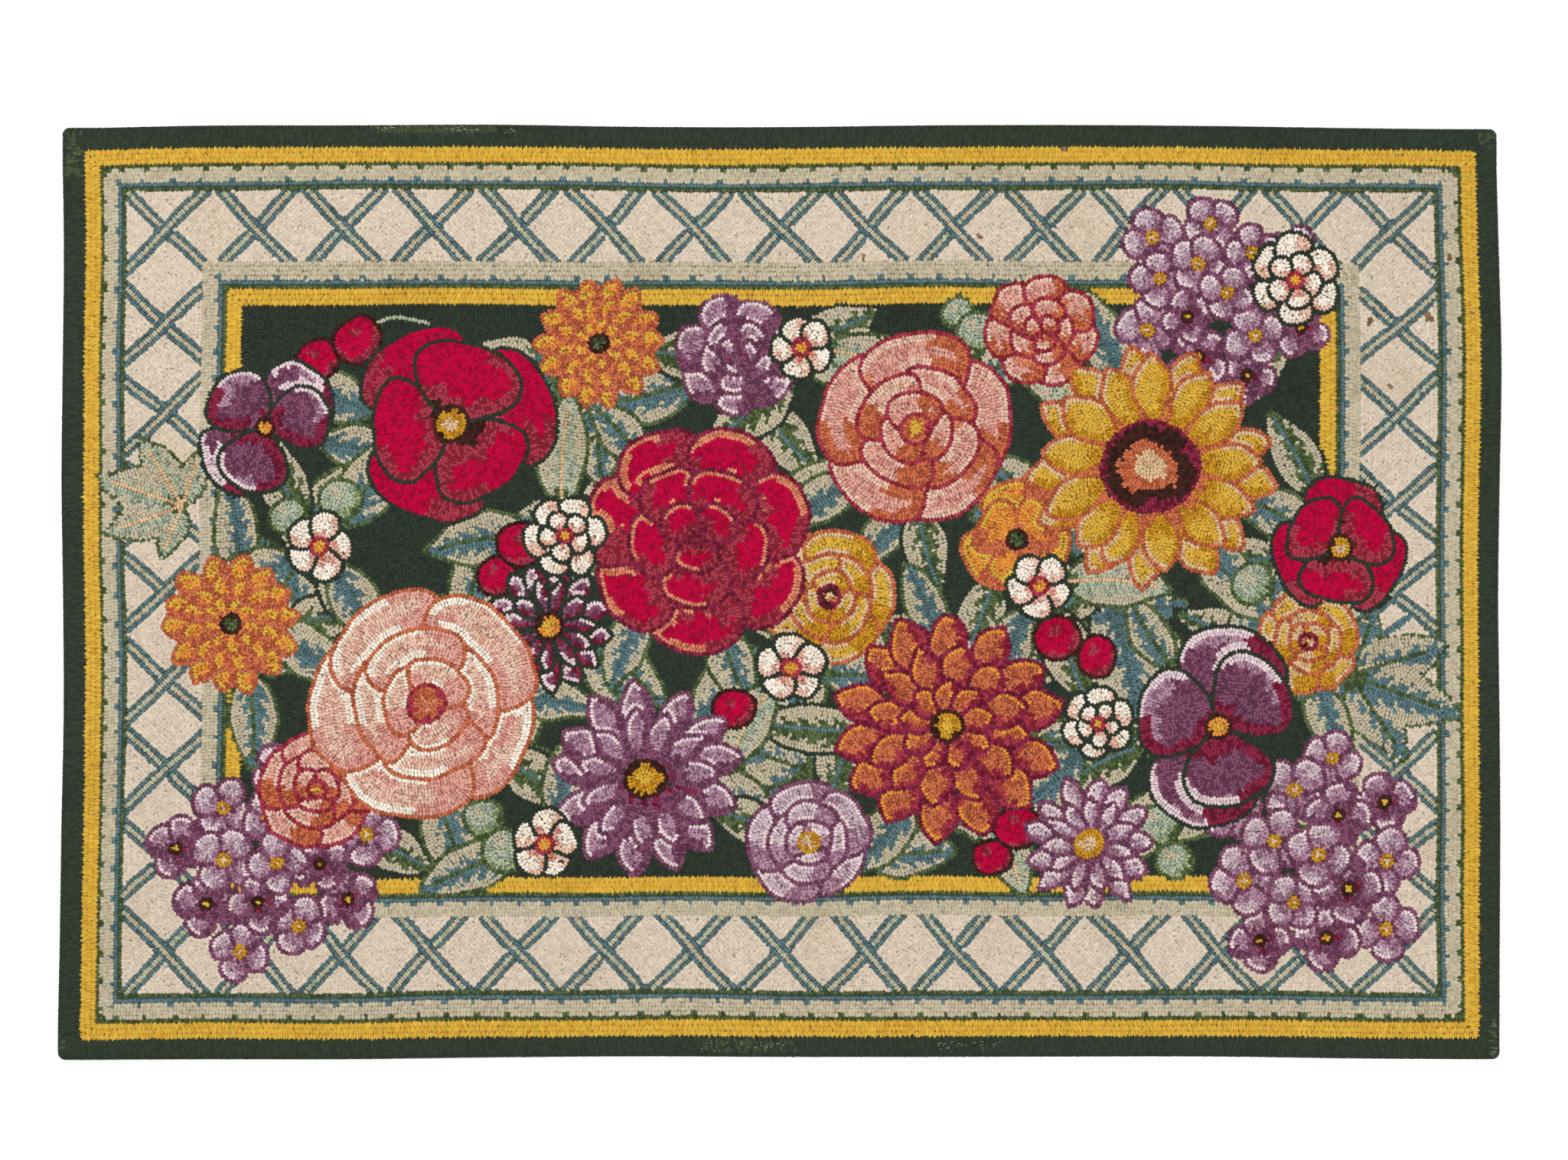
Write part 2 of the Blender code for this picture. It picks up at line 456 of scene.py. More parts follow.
def inside(x, y, outline):
    """Which places lie inside a closed outline."""
    found = np.zeros(x.shape, bool)
    for (ax, ay), (bx, by) in zip(outline, np.roll(outline, -1, axis=0)):
        if ay != by:
            found ^= ((ay > y) != (by > y)) & (x < (bx - ax) * (y - ay) / (by - ay) + ax)
    return found


def from_line(x, y, line):
    """Distance of each place from a line."""
    near = np.full(x.shape, FAR)
    for (ax, ay), (bx, by) in zip(line[:-1], line[1:]):
        ex, ey = bx - ax, by - ay
        part = np.clip(((x - ax) * ex + (y - ay) * ey) / max(ex * ex + ey * ey, TINY), 0, 1)
        near = np.minimum(near, (x - ax - part * ex) ** 2 + (y - ay - part * ey) ** 2)
    return np.sqrt(near)


# Items of the drawing: an area that rows fill, or single rows along lines

def patch(outline, paint):
    """An area that rows of loops fill by following its outline inwards."""
    low, high = outline.min(0), outline.max(0)
    return {"box": (*low, *high), "covers": lambda x, y: inside(x, y, outline),
            "lines": None, "paint": paint, "kind": "row"}


def row(line, paint, closed=False, wide=ROW_WIDTH, kind="row"):
    """One row of loops along a line."""
    line = np.concatenate([line, line[:1]]) if closed else line
    low, high = line.min(0) - wide, line.max(0) + wide
    return {"box": (*low, *high), "covers": lambda x, y: from_line(x, y, line) < wide / 2,
            "lines": [line], "paint": paint, "kind": kind}


def outlined(outline, paint, edge):
    """A patch with one row of another yarn round it."""
    return [row(outline, one_yarn(edge), closed=True), patch(outline, paint)]


def edge_distances(x, y):
    """How far places lie inside the left, right, top and bottom edges of the drawing."""
    return {"left": x + DRAWN_LENGTH / 2, "right": DRAWN_LENGTH / 2 - x,
            "top": DRAWN_WIDTH / 2 - y, "bottom": y + DRAWN_WIDTH / 2}


def into_band(x, y, outer, inner):
    """How far places lie into the ring between two insets: 0 at its outside, 1 at its inside."""
    gone = edge_distances(x, y)
    parts = [(gone[side] - outer[side]) / (inner[side] - outer[side]) for side in SIDES]
    return np.minimum.reduce(parts)


def ring_line(inset):
    """The corners of a rectangle inside the rug's edges, as a closed line."""
    left, right = -DRAWN_LENGTH / 2 + inset["left"], DRAWN_LENGTH / 2 - inset["right"]
    bottom, top = -DRAWN_WIDTH / 2 + inset["bottom"], DRAWN_WIDTH / 2 - inset["top"]
    return np.array([(left, bottom), (right, bottom), (right, top), (left, top), (left, bottom)])


def between(outer, inner, part):
    """An inset part of the way from one to another."""
    return {side: outer[side] + part * (inner[side] - outer[side]) for side in SIDES}


def band_paint(number, band, outer):
    """A band's yarn, with the notches of its neighbours' yarn."""
    teeth = [tooth for tooth in TEETH if tooth["band"] == number]
    def paint(x, y, deep, draw):
        found = np.full(len(x), YARN_NAMES.index(band["yarn"]))
        gone = edge_distances(x, y)
        short = np.minimum(gone["left"], gone["right"]) < np.minimum(gone["top"], gone["bottom"])
        along = np.where(short, y, x)
        level = np.floor(into_band(x, y, outer, band) * band["rows"])
        for tooth in teeth:
            run = along + TOOTH_WANDER * np.sin(along / TOOTH_WANDER_OVER + number) + tooth["phase"]
            unlike = TOOTH_UNLIKE * np.sin(TOOTH_MIX * np.floor(run / TOOTH_PITCH))
            notch = run % TOOTH_PITCH < tooth["length"] * (1 + unlike)
            found[notch & (level == tooth["row"])] = YARN_NAMES.index(tooth["yarn"])
        if number == ROUND_BAND:
            into = {side: ROUND_RADIUS - (gone[side] - outer[side]) for side in SIDES}
            over_x = np.maximum(np.maximum(into["left"], into["right"]), 0)
            over_y = np.maximum(np.maximum(into["top"], into["bottom"]), 0)
            found[np.hypot(over_x, over_y) > ROUND_RADIUS] = YARN_NAMES.index("moss")
        return found
    return paint


def band_item(number, outer):
    """One straight band as rows round the rug."""
    band = BANDS[number]
    lines = []
    for step in range(band["rows"]):
        lines.append(ring_line(between(outer, band, (step + 0.5) / band["rows"])))
    def covers(x, y):
        part = into_band(x, y, outer, band)
        return (part >= 0) & (part < 1)
    box = (-DRAWN_LENGTH / 2, -DRAWN_WIDTH / 2, DRAWN_LENGTH / 2, DRAWN_WIDTH / 2)
    return {"box": box, "covers": covers, "lines": lines or None, "kind": band["kind"],
            "paint": band_paint(number, band, outer)}


def trellis_bars():
    """The ends of every bar of the trellis: those that pass over first, then the rest."""
    outer, inner = BANDS[TRELLIS_BAND - 1], BANDS[TRELLIS_BAND]
    out, back = ring_line(outer), ring_line(inner)
    x0, x1, y0, y1 = out[0, 0], out[1, 0], out[0, 1], out[2, 1]
    inner_x0, inner_x1, inner_y0, inner_y1 = back[0, 0], back[1, 0], back[0, 1], back[2, 1]
    xs = np.linspace(x0, x1, TRELLIS_ALONG + 1)
    ys = np.linspace(y1, y0, TRELLIS_DOWN + 1)
    over, under = [], []
    a, b = BAR_OUTER, BAR_INNER
    for left, right in zip(xs[1:-2], xs[2:-1]):
        over.append(((left + a, y1), (right - b, inner_y1)))
        under.append(((right - a, y1), (left + b, inner_y1)))
        over.append(((left + b, inner_y0), (right - a, y0)))
        under.append(((right - b, inner_y0), (left + a, y0)))
    for top, bottom in zip(ys[1:-2], ys[2:-1]):
        over.append(((x0, bottom + a), (inner_x0, top - b)))
        under.append(((x0, top - a), (inner_x0, bottom + b)))
        over.append(((inner_x1, bottom + b), (x1, top - a)))
        under.append(((inner_x1, top - b), (x1, bottom + a)))
    over.append(((xs[1] - a, y1), (x0, ys[1] + a)))
    under.append(((x0, y1), (inner_x0, inner_y1)))
    over.append(((x1, y1), (inner_x1, inner_y1)))
    under.append(((xs[-2] + a, y1), (x1, ys[1] + a)))
    over.append(((x0, ys[-2] - a), (xs[1] - a, y0)))
    under.append(((x0, y0), (inner_x0, inner_y0)))
    over.append(((inner_x1, inner_y0), (x1, y0)))
    under.append(((xs[-2] + a, y0), (x1, ys[-2] - a)))
    return over + under


def trellis_items():
    """Every bar of the trellis: a beige row between two teal ones."""
    items = []
    draw = np.random.default_rng(TRELLIS_SEED)
    for start, end in trellis_bars():
        start = np.array(start) + draw.uniform(-BAR_WANDER, BAR_WANDER, 2)
        end = np.array(end) + draw.uniform(-BAR_WANDER, BAR_WANDER, 2)
        run = end - start
        length = float(np.hypot(*run))
        angle = math.degrees(math.atan2(run[1], run[0]))
        steps = np.linspace(-BAR_PAST, length + BAR_PAST, BAR_POINTS)
        sway = BAR_SWAY * np.sin(steps / BAR_SWAY_OVER + draw.uniform(*BAR_PHASES))
        for part in BAR_ROWS:
            offset = part["place"] * BAR_ROW
            line = turned(np.stack([steps, sway + offset], 1), angle, start)
            paint = two_yarns(*part["yarns"])
            items.append(row(line, paint, wide=BAR_ROW + BAR_OVERLAP, kind=part["kind"]))
    return items


def border_items():
    """The bands and the trellis, from the top down."""
    items = []
    outer = WHIPPED
    for number in range(len(BANDS)):
        if number == TRELLIS_BAND:
            trellis_outer = outer
        else:
            items.append(band_item(number, outer))
        outer = BANDS[number]
    items += trellis_items()
    items.append(band_item(TRELLIS_BAND, trellis_outer))
    return items


# Flowers, leaves and stems

# Rings of petals, from the top down. from, to and wide are shares of the flower's radius.
RING = "petals from to wide full notch turn"
FLOWERS = {
    "peony": {"heart": 0.0, "rings": table(RING,
        (3, 0.0, 0.34, 0.36, 0.6, 0.05, 10),
        (5, 0.04, 0.62, 0.56, 0.6, 0.06, 40),
        (7, 0.2, 1.0, 0.74, 0.6, 0.06, 0))},
    "dahlia": {"heart": 0.14, "rings": table(RING,
        (9, 0.05, 0.42, 0.24, 0.9, 0.0, 0),
        (12, 0.2, 0.72, 0.29, 0.9, 0.0, 12),
        (14, 0.4, 1.0, 0.35, 0.9, 0.0, 0))},
    "rose": {"heart": 0.16, "rings": table(RING,
        (3, -0.06, 0.38, 0.56, 0.5, 0.0, 30),
        (4, 0.02, 0.64, 0.84, 0.5, 0.0, 75),
        (5, 0.1, 1.0, 1.12, 0.5, 0.03, 18))},
    "sunflower": {"heart": 0.38, "rings": table(RING,
        (13, 0.25, 0.88, 0.31, 0.9, 0.0, 0),
        (13, 0.3, 1.0, 0.3, 0.9, 0.0, 14))},
    "poppy": {"heart": 0.17, "rings": table(RING,
        (3, 0.0, 0.8, 1.02, 0.5, 0.05, 20),
        (3, 0.05, 1.0, 1.16, 0.5, 0.04, 80))},
    "aster": {"heart": 0.2, "rings": table(RING,
        (11, 0.12, 0.72, 0.26, 0.8, 0.0, 0),
        (13, 0.25, 1.0, 0.34, 0.8, 0.0, 9))},
    "pansy": {"heart": 0.12, "rings": table(RING,
        (3, 0.0, 0.86, 0.88, 0.55, 0.04, -90),
        (2, 0.02, 1.0, 1.05, 0.55, 0.0, 62))},
    "blossom": {"heart": 0.24, "rings": table(RING,
        (5, 0.06, 1.0, 0.92, 0.5, 0.05, 0))},
    "floret": {"heart": 0.17, "rings": table(RING,
        (4, 0.04, 1.0, 0.98, 0.55, 0.0, 45))},
    "double blossom": {"heart": 0.16, "rings": table(RING,
        (5, 0.05, 0.62, 0.5, 0.55, 0.04, 36),
        (6, 0.16, 1.0, 0.76, 0.5, 0.05, 0))},
}

# Each petal's yarns from its base to its tip, its lit rim, its dark side, its outline, and the
# yarns of the heart.
COLOURWAYS = named_table("petal light dark edge heart", {
    "crimson": (("wine", "maroon", "crimson", "crimson", "crimson"),
        "coral", "maroon", "wine", ("gold", "orange", "brown")),
    "deep crimson": (("brown", "maroon", "crimson", "crimson", "crimson"),
        "crimson", "maroon", "field green", ("tan", "amber", "brown")),
    "rust": (("maroon", "rust", "rust", "rust"),
        "orange", "maroon", "wine", ("gold", "amber", "brown")),
    "coral": (("maroon", "coral", "pink", "pink", "pink"),
        "blush", "rust", "maroon", ("gold", "rust", "maroon")),
    "blush": (("coral", "pink", "blush", "blush"),
        "white", "pink", "rust", ("coral", "rust", "maroon")),
    "gold": (("rust", "amber", "gold", "gold", "gold"),
        "tan", "amber", "rust", ("tan", "rust", "brown", "wine")),
    "orange": (("rust", "orange", "orange", "orange"), "gold", "rust", "rust", ("moss", "brown")),
    "plum": (("wine", "plum", "plum", "mauve"),
        "pale lilac", "wine", "field green", ("gold", "orange", "brown")),
    "mauve": (("wine", "plum", "mauve", "mauve", "mauve"),
        "pale lilac", "plum", "plum", ("gold", "amber", "brown")),
    "lilac": (("plum", "mauve", "lilac", "lilac"), "pale lilac", "mauve", "plum", ("tan", "amber")),
    "white": (("coral", "pink", "white", "white", "white"),
        "white", "blush", "field green", ("gold", "orange", "maroon")),
})

# In the tables below, a pair is the least and the most of an even draw, wander is how far an
# outline strays in millimetres, and full and widest shape a petal or leaf.
HEART = {"high": 0.94, "wander": 0.8, "reach": 0.6, "ragged": 0.12}
# A petal is lighter on the lit side, and darker for each ring further down.
PETAL = {"turn": (-4, 4), "length": (0.94, 1.03), "width": (0.94, 1.05), "bend": (-9, 9),
         "widest": 1.35, "wander": 1.4, "lighter": 0.10, "darker": 0.05}
LEAF = {"rib": 0.86, "rib_points": 8, "full": 0.80, "widest": 0.85, "wander": 1.6}
# Each lobe's direction and size, and how far along it its vein runs.
LOBES = ((0, 1.0), (38, 0.86), (-38, 0.86), (88, 0.60), (-88, 0.60))
LOBE = {"vein": 0.8, "full": 0.9, "widest": 0.75, "wander": 2.0}
BALL = {"light": 1.0, "ragged": 0.06, "wander": 1.2}
# A stem's points for each given one, how often it is smoothed, and how far beside its middle
# its two rows lie in millimetres.
STEM = {"points": 6, "passes": 12, "beside": 2.3}


def flower(kind, at, radius, turn, colours, seed):
    """A flower from the top down: its heart, then its rings of petals."""
    way, plan = COLOURWAYS[colours], FLOWERS[kind]
    draw = np.random.default_rng(seed)
    items = []
    if plan["heart"]:
        wide = 2 * radius * plan["heart"]
        shape = turned(oval(wide, wide * HEART["high"]), turn, at)
        paint = round_yarns(at, wide * HEART["reach"], way["heart"], 0.0, HEART["ragged"], seed)
        items += outlined(unsteady(shape, HEART["wander"], seed), paint, way["heart"][-1])
    for level, ring in enumerate(plan["rings"]):
        for number in range(ring["petals"]):
            angle = turn + ring["turn"] + 360 * number / ring["petals"]
            angle += draw.uniform(*PETAL["turn"])
            reach = radius * (ring["to"] - ring["from"]) * draw.uniform(*PETAL["length"])
            root = beside(at, radius * ring["from"], angle)
            wide = radius * ring["wide"] * draw.uniform(*PETAL["width"])
            shape = blade(reach, wide, ring["full"], PETAL["widest"], ring["notch"])
            shape = bent(shape, reach, draw.uniform(*PETAL["bend"]))
            shape = unsteady(turned(shape, angle, root), PETAL["wander"], seed + number)
            lift = PETAL["lighter"] * math.cos(math.radians(angle - LIGHT_FROM))
            lift -= PETAL["darker"] * level
            paint = petal_yarns(root, angle, reach, wide, way, lift, seed + number)
            items += outlined(shape, paint, way["edge"])
    return items


# A leaf's pale blade, its flames, its base, its outline and its midrib.
LEAF_WAYS = named_table("pale flame base edge rib", {
    "sage": ("beige", "teal", "moss", "moss", "moss"),
    "teal": ("beige", "teal", "slate", "moss", "slate"),
    "dark": ("beige", "moss", "moss", "field green", "teal"),
    "pale": ("beige", "sage", "moss", "moss", "tan"),
})


def leaf(at, angle, length, width, bend, colours, seed):
    """A leaf from the top down: its midrib, its outline, its blade."""
    way = LEAF_WAYS[colours]
    steps = np.linspace(0.0, LEAF["rib"], LEAF["rib_points"]) * length
    rib = bent(np.stack([steps, np.zeros(len(steps))], 1), length, bend)
    items = [row(turned(rib, angle, at), one_yarn(way["rib"]))]
    shape = bent(blade(length, width, LEAF["full"], LEAF["widest"]), length, bend)
    shape = unsteady(turned(shape, angle, at), LEAF["wander"], seed)
    paint = leaf_yarns(at, angle, length, width, bend, way, seed)
    return items + outlined(shape, paint, way["edge"])


def lobed_leaf(at, angle, length, width, colours, seed):
    """A broad leaf with five pointed lobes, each with its own vein."""
    way = LEAF_WAYS[colours]
    items, lobes = [], []
    for spread, share in LOBES:
        reach = length * share
        tip = beside(at, LOBE["vein"] * reach, angle + spread)
        items.append(row(np.array([at, tip]), one_yarn(way["rib"])))
        shape = blade(reach, width * share, LOBE["full"], LOBE["widest"])
        shape = unsteady(turned(shape, angle + spread, at), LOBE["wander"], seed + spread)
        paint = leaf_yarns(at, angle + spread, reach, width, 0.0, way, seed)
        lobes.append((shape, paint))
    items += [patch(shape, paint) for shape, paint in lobes]
    items += [row(shape, one_yarn(way["edge"]), closed=True) for shape, paint in lobes]
    return items


def ball(at, wide, high, turn, names, edge, seed):
    """A round bud or hip: an oval, shaded round."""
    shape = unsteady(turned(oval(wide, high), turn, at), BALL["wander"], seed)
    paint = round_yarns(at, max(wide, high) / 2, names, BALL["light"], BALL["ragged"], seed)
    return outlined(shape, paint, edge)


def stem(points, yarn, wide):
    """A stem or tendril as one or two rows along a smooth curve."""
    p = np.asarray(points, float)
    t = np.linspace(0, len(p) - 1, STEM["points"] * len(p))
    steps = np.arange(len(p))
    x, y = np.interp(t, steps, p[:, 0]), np.interp(t, steps, p[:, 1])
    for _ in range(STEM["passes"]):
        x[1:-1] = (x[:-2] + 2 * x[1:-1] + x[2:]) / 4
        y[1:-1] = (y[:-2] + 2 * y[1:-1] + y[2:]) / 4
    line = np.stack([x, y], 1)
    if wide == 1:
        return [row(line, one_yarn(yarn))]
    run = np.gradient(line, axis=0)
    run /= np.maximum(np.hypot(run[:, 0], run[:, 1]), TINY)[:, None]
    side = np.stack([-run[:, 1], run[:, 0]], 1) * STEM["beside"]
    return [row(line + side, one_yarn(yarn)), row(line - side, one_yarn(yarn))]


# The field's flowers, from the top down, in millimetres from the rug's middle. Each has a
# ring of leaves under it, all of them under every flower.
FIELD_FLOWERS = table("kind at radius turn colours leaves",
    ("blossom", (12, -96), 48, 20, "white", 3),
    ("blossom", (330, 6), 44, 50, "white", 3),
    ("double blossom", (-274, 70), 56, 5, "white", 4),
    ("double blossom", (652, 398), 62, 30, "white", 0),
    ("blossom", (-588, 60), 46, 75, "white", 4),
    ("blossom", (-300, -322), 46, 10, "white", 3),
    ("double blossom", (402, -168), 50, 22, "white", 3),
    ("blossom", (24, 312), 42, 40, "white", 3),
    ("peony", (-105, 72), 158, 14, "crimson", 7),
    ("sunflower", (470, 158), 162, 4, "gold", 7),
    ("rose", (-452, -142), 152, 25, "blush", 7),
    ("dahlia", (212, -172), 148, 8, "rust", 7),
    ("poppy", (-420, 212), 134, 48, "deep crimson", 6),
    ("pansy", (556, -172), 132, 12, "plum", 6),
    ("rose", (172, 206), 126, 70, "coral", 6),
    ("aster", (-172, -238), 126, 3, "mauve", 6),
    ("poppy", (712, 58), 94, 5, "deep crimson", 5),
    ("pansy", (-655, 208), 100, -14, "plum", 5),
    ("dahlia", (-700, -40), 90, 30, "orange", 5),
    ("aster", (392, -322), 86, 20, "lilac", 5),
    ("dahlia", (-232, 316), 84, 0, "orange", 5),
    ("rose", (36, -318), 80, 10, "lilac", 5),
    ("peony", (330, 330), 76, 33, "coral", 4),
    ("rose", (62, -6), 88, 55, "gold", 4),
    ("aster", (-296, -44), 84, 40, "plum", 4),
    ("poppy", (300, 66), 74, 10, "orange", 3),
    ("peony", (-56, 300), 82, 10, "mauve", 4),
    ("rose", (672, -62), 66, 10, "gold", 3),
    ("rose", (-590, -250), 78, 0, "coral", 3))
# How far out from the rug's middle leaves may reach, their colours in turn, and how they are
# set round a flower: a pair is the least and the most of an even draw.
LEAF_REACH = (735.0, 400.0)
LEAF_TURNS = ("sage", "dark", "teal", "pale", "sage", "dark", "teal")
LEAF_RING = {"seed_turn": 37, "turn": (-14, 14), "length": (112, 150), "from": 0.70,
             "bend": (10, 30), "width": (0.44, 0.52)}
# The first seed of the field, and the seeds that each flower and cluster takes.
FIELD_SEED = 100
FLOWER_SEEDS = 20
CLUSTER_SEEDS = 100

# Round clusters of small lilac florets: the places tried, set like seeds in a head, how far
# apart florets stand as a share of their radius, and how they differ in size.
CLUSTER = {"places": 60, "turn": 137.508, "apart": 1.28, "size": (0.9, 1.1), "floret_turn": (0, 90)}
CLUSTER_TURNS = ("lilac", "mauve", "lilac", "lilac", "mauve")
CLUSTERS = table("at radius floret turn",
    ((-652, -347), 138, 41, 15),
    ((560, 372), 122, 39, 50),
    ((682, -346), 142, 42, 80))

FIELD_BALLS = table("at size turn kind",
    ((-330, 60), (62, 56), 20, "hip"), ((-362, 20), (52, 48), 60, "hip"),
    ((352, -60), (62, 54), 10, "hip"), ((402, -84), (54, 50), 80, "hip"),
    ((-540, 320), (64, 58), 40, "hip"), ((-590, 296), (54, 50), 10, "hip"),
    ((-60, -150), (56, 50), 10, "hip"), ((300, -300), (60, 52), 10, "hip"),
    ((268, -338), (52, 46), 10, "hip"), ((480, -300), (56, 50), 10, "green"),
    ((500, -345), (50, 44), 10, "green"), ((-350, -330), (60, 54), 10, "green"),
    ((-378, -290), (50, 46), 10, "green"), ((-560, 118), (56, 52), 10, "green"),
    ((-628, 96), (48, 44), 10, "green"), ((250, 330), (54, 50), 10, "green"),
    ((225, 352), (44, 42), 10, "green"), ((600, 10), (56, 50), 70, "green"))
BALL_WAYS = named_table("names edge", {
    "hip": (("maroon", "crimson", "crimson", "crimson", "maroon", "wine"), "brown"),
    "green": (("beige", "sage", "sage", "leaf green", "moss"), "moss"),
})

LOBED_LEAVES = table("at angle size colours",
    ((-590, -60), 120, (150, 76), "sage"),
    ((430, -30), -80, (150, 78), "teal"),
    ((-760, 110), 160, (120, 62), "pale"),
    ((726, -104), -20, (150, 76), "sage"),
    ((-270, 190), 110, (140, 72), "dark"),
    ((40, -230), 200, (130, 70), "sage"))
STEMS = table("points yarn wide",
    (((352, -60), (330, -20), (300, 10)), "tan", 1),
    (((-540, 320), (-500, 352), (-450, 340)), "sage", 1),
    (((700, -30), (760, -60), (800, -30)), "teal", 2))


def cluster(at, radius, floret, turn, seed):
    """A round head of small florets, the upper ones over the lower ones."""
    draw = np.random.default_rng(seed)
    places = []
    for number in range(CLUSTER["places"]):
        far = math.sqrt((number + 0.5) / CLUSTER["places"]) * radius
        place = np.array(beside(at, far, turn + number * CLUSTER["turn"]))
        if all(np.hypot(*(place - other)) > floret * CLUSTER["apart"] for other in places):
            places.append(place)
    items = []
    for number, place in enumerate(places):
        colours = CLUSTER_TURNS[number % len(CLUSTER_TURNS)]
        size = floret * draw.uniform(*CLUSTER["size"])
        angle = draw.uniform(*CLUSTER["floret_turn"])
        items += flower("floret", place, size, angle, colours, seed + number)
    return items


def leaf_ring(at, radius, count, seed):
    """Leaves that reach out from under a flower, where they stay in the field."""
    draw = np.random.default_rng(seed)
    items = []
    for number in range(count):
        angle = seed * LEAF_RING["seed_turn"] + 360 * number / count
        angle += draw.uniform(*LEAF_RING["turn"])
        length = draw.uniform(*LEAF_RING["length"])
        root = beside(at, LEAF_RING["from"] * radius, angle)
        tip = beside(root, length, angle)
        if abs(tip[0]) > LEAF_REACH[0] or abs(tip[1]) > LEAF_REACH[1]:
            continue
        colours = LEAF_TURNS[(seed + number) % len(LEAF_TURNS)]
        bend = draw.uniform(*LEAF_RING["bend"]) * draw.choice((-1, 1))
        wide = length * draw.uniform(*LEAF_RING["width"])
        items += leaf(root, angle, length, wide, bend, colours, seed + number)
    return items


def field_items():
    """Everything in the field, from the top down, and its dark ground."""
    items = []
    seed = FIELD_SEED
    for plan in FIELD_FLOWERS:
        seed += FLOWER_SEEDS
        items += flower(plan["kind"], plan["at"], plan["radius"], plan["turn"], plan["colours"], seed)
    for plan in CLUSTERS:
        seed += CLUSTER_SEEDS
        items += cluster(**plan, seed=seed)
    for plan in FIELD_BALLS:
        seed += 1
        way = BALL_WAYS[plan["kind"]]
        items += ball(plan["at"], *plan["size"], plan["turn"], way["names"], way["edge"], seed)
    for plan in FIELD_FLOWERS:
        seed += FLOWER_SEEDS
        items += leaf_ring(plan["at"], plan["radius"], plan["leaves"], seed)
    for plan in LOBED_LEAVES:
        seed += 1
        items += lobed_leaf(plan["at"], plan["angle"], *plan["size"], plan["colours"], seed)
    for plan in STEMS:
        items += stem(**plan)
    return items


# How much larger than the field its ground is drawn, so that no gap is left at its border.
GROUND_OVERLAP = 1.01


def ground_item():
    """The field's dark ground, under everything."""
    outline = ring_line(BANDS[-1])[:-1] * GROUND_OVERLAP
    return patch(outline, one_yarn("field green"))


# From the drawing to rows of loops

# Stands in for a border that isn't known yet, and the longest jump that looks for one, in cells.
UNKNOWN = 9e3
LONGEST_JUMP = 64
# Where along its line the first loop of a row may lie, as shares of the loops' spacing, and
# how far off a loop its row's direction is read.
ROW_START = (0.2, 0.8)
AIM_REACH = 0.6


def draw_cells(items):
    """Lay the drawing on a grid of small cells: each cell's number is its topmost item."""
    across = int(DRAWN_LENGTH / CELL) + 1
    down = int(DRAWN_WIDTH / CELL) + 1
    xs = (np.arange(across) + 0.5) * CELL - DRAWN_LENGTH / 2
    ys = (np.arange(down) + 0.5) * CELL - DRAWN_WIDTH / 2
    cells = np.full((down, across), -1, np.int32)
    for number in range(len(items) - 1, -1, -1):
        left, bottom, right, top = items[number]["box"]
        i0, i1 = np.searchsorted(xs, (left, right))
        j0, j1 = np.searchsorted(ys, (bottom, top))
        if i0 < i1 and j0 < j1:
            x, y = np.meshgrid(xs[i0:i1], ys[j0:j1])
            cells[j0:j1, i0:i1][items[number]["covers"](x, y)] = number
    return cells


def cell_of(x, y, cells):
    """The cell that each place falls in."""
    i = np.clip(((x + DRAWN_LENGTH / 2) / CELL).astype(int), 0, cells.shape[1] - 1)
    j = np.clip(((y + DRAWN_WIDTH / 2) / CELL).astype(int), 0, cells.shape[0] - 1)
    return j, i


def from_borders(cells):
    """Distance in millimetres from each cell to the nearest cell of another item."""
    down, across = cells.shape
    y, x = np.mgrid[0:down, 0:across].astype(np.float32)
    near_x = np.full(cells.shape, UNKNOWN, np.float32)
    near_y = np.full(cells.shape, UNKNOWN, np.float32)
    change = cells[:, :-1] != cells[:, 1:]
    for part in (np.s_[:, :-1], np.s_[:, 1:]):
        near_x[part][change] = (x[:, :-1] + 0.5)[change]
        near_y[part][change] = y[:, :-1][change]
    change = cells[:-1] != cells[1:]
    for part in (np.s_[:-1], np.s_[1:]):
        near_x[part][change] = x[:-1][change]
        near_y[part][change] = (y[:-1] + 0.5)[change]
    best = (near_x - x) ** 2 + (near_y - y) ** 2
    step = LONGEST_JUMP
    while step >= 1:
        for dj in (-step, 0, step):
            for di in (-step, 0, step):
                if dj == 0 and di == 0:
                    continue
                to = (slice(max(dj, 0), down + min(dj, 0)), slice(max(di, 0), across + min(di, 0)))
                of = (slice(max(-dj, 0), down - max(dj, 0)), slice(max(-di, 0), across - max(di, 0)))
                found = (near_x[of] - x[to]) ** 2 + (near_y[of] - y[to]) ** 2
                better = found < best[to]
                best[to][better] = found[better]
                near_x[to][better] = near_x[of][better]
                near_y[to][better] = near_y[of][better]
        step //= 2
    return np.sqrt(best) * CELL


# Marching squares: which edges of a cell a row crosses, for each pattern of its corners.
CROSSINGS = {1: ((3, 0),), 2: ((0, 1),), 3: ((3, 1),), 4: ((1, 2),), 5: ((3, 0), (1, 2)),
             6: ((0, 2),), 7: ((3, 2),), 8: ((2, 3),), 9: ((2, 0),), 10: ((0, 1), (2, 3)),
             11: ((2, 1),), 12: ((1, 3),), 13: ((1, 0),), 14: ((0, 3),)}


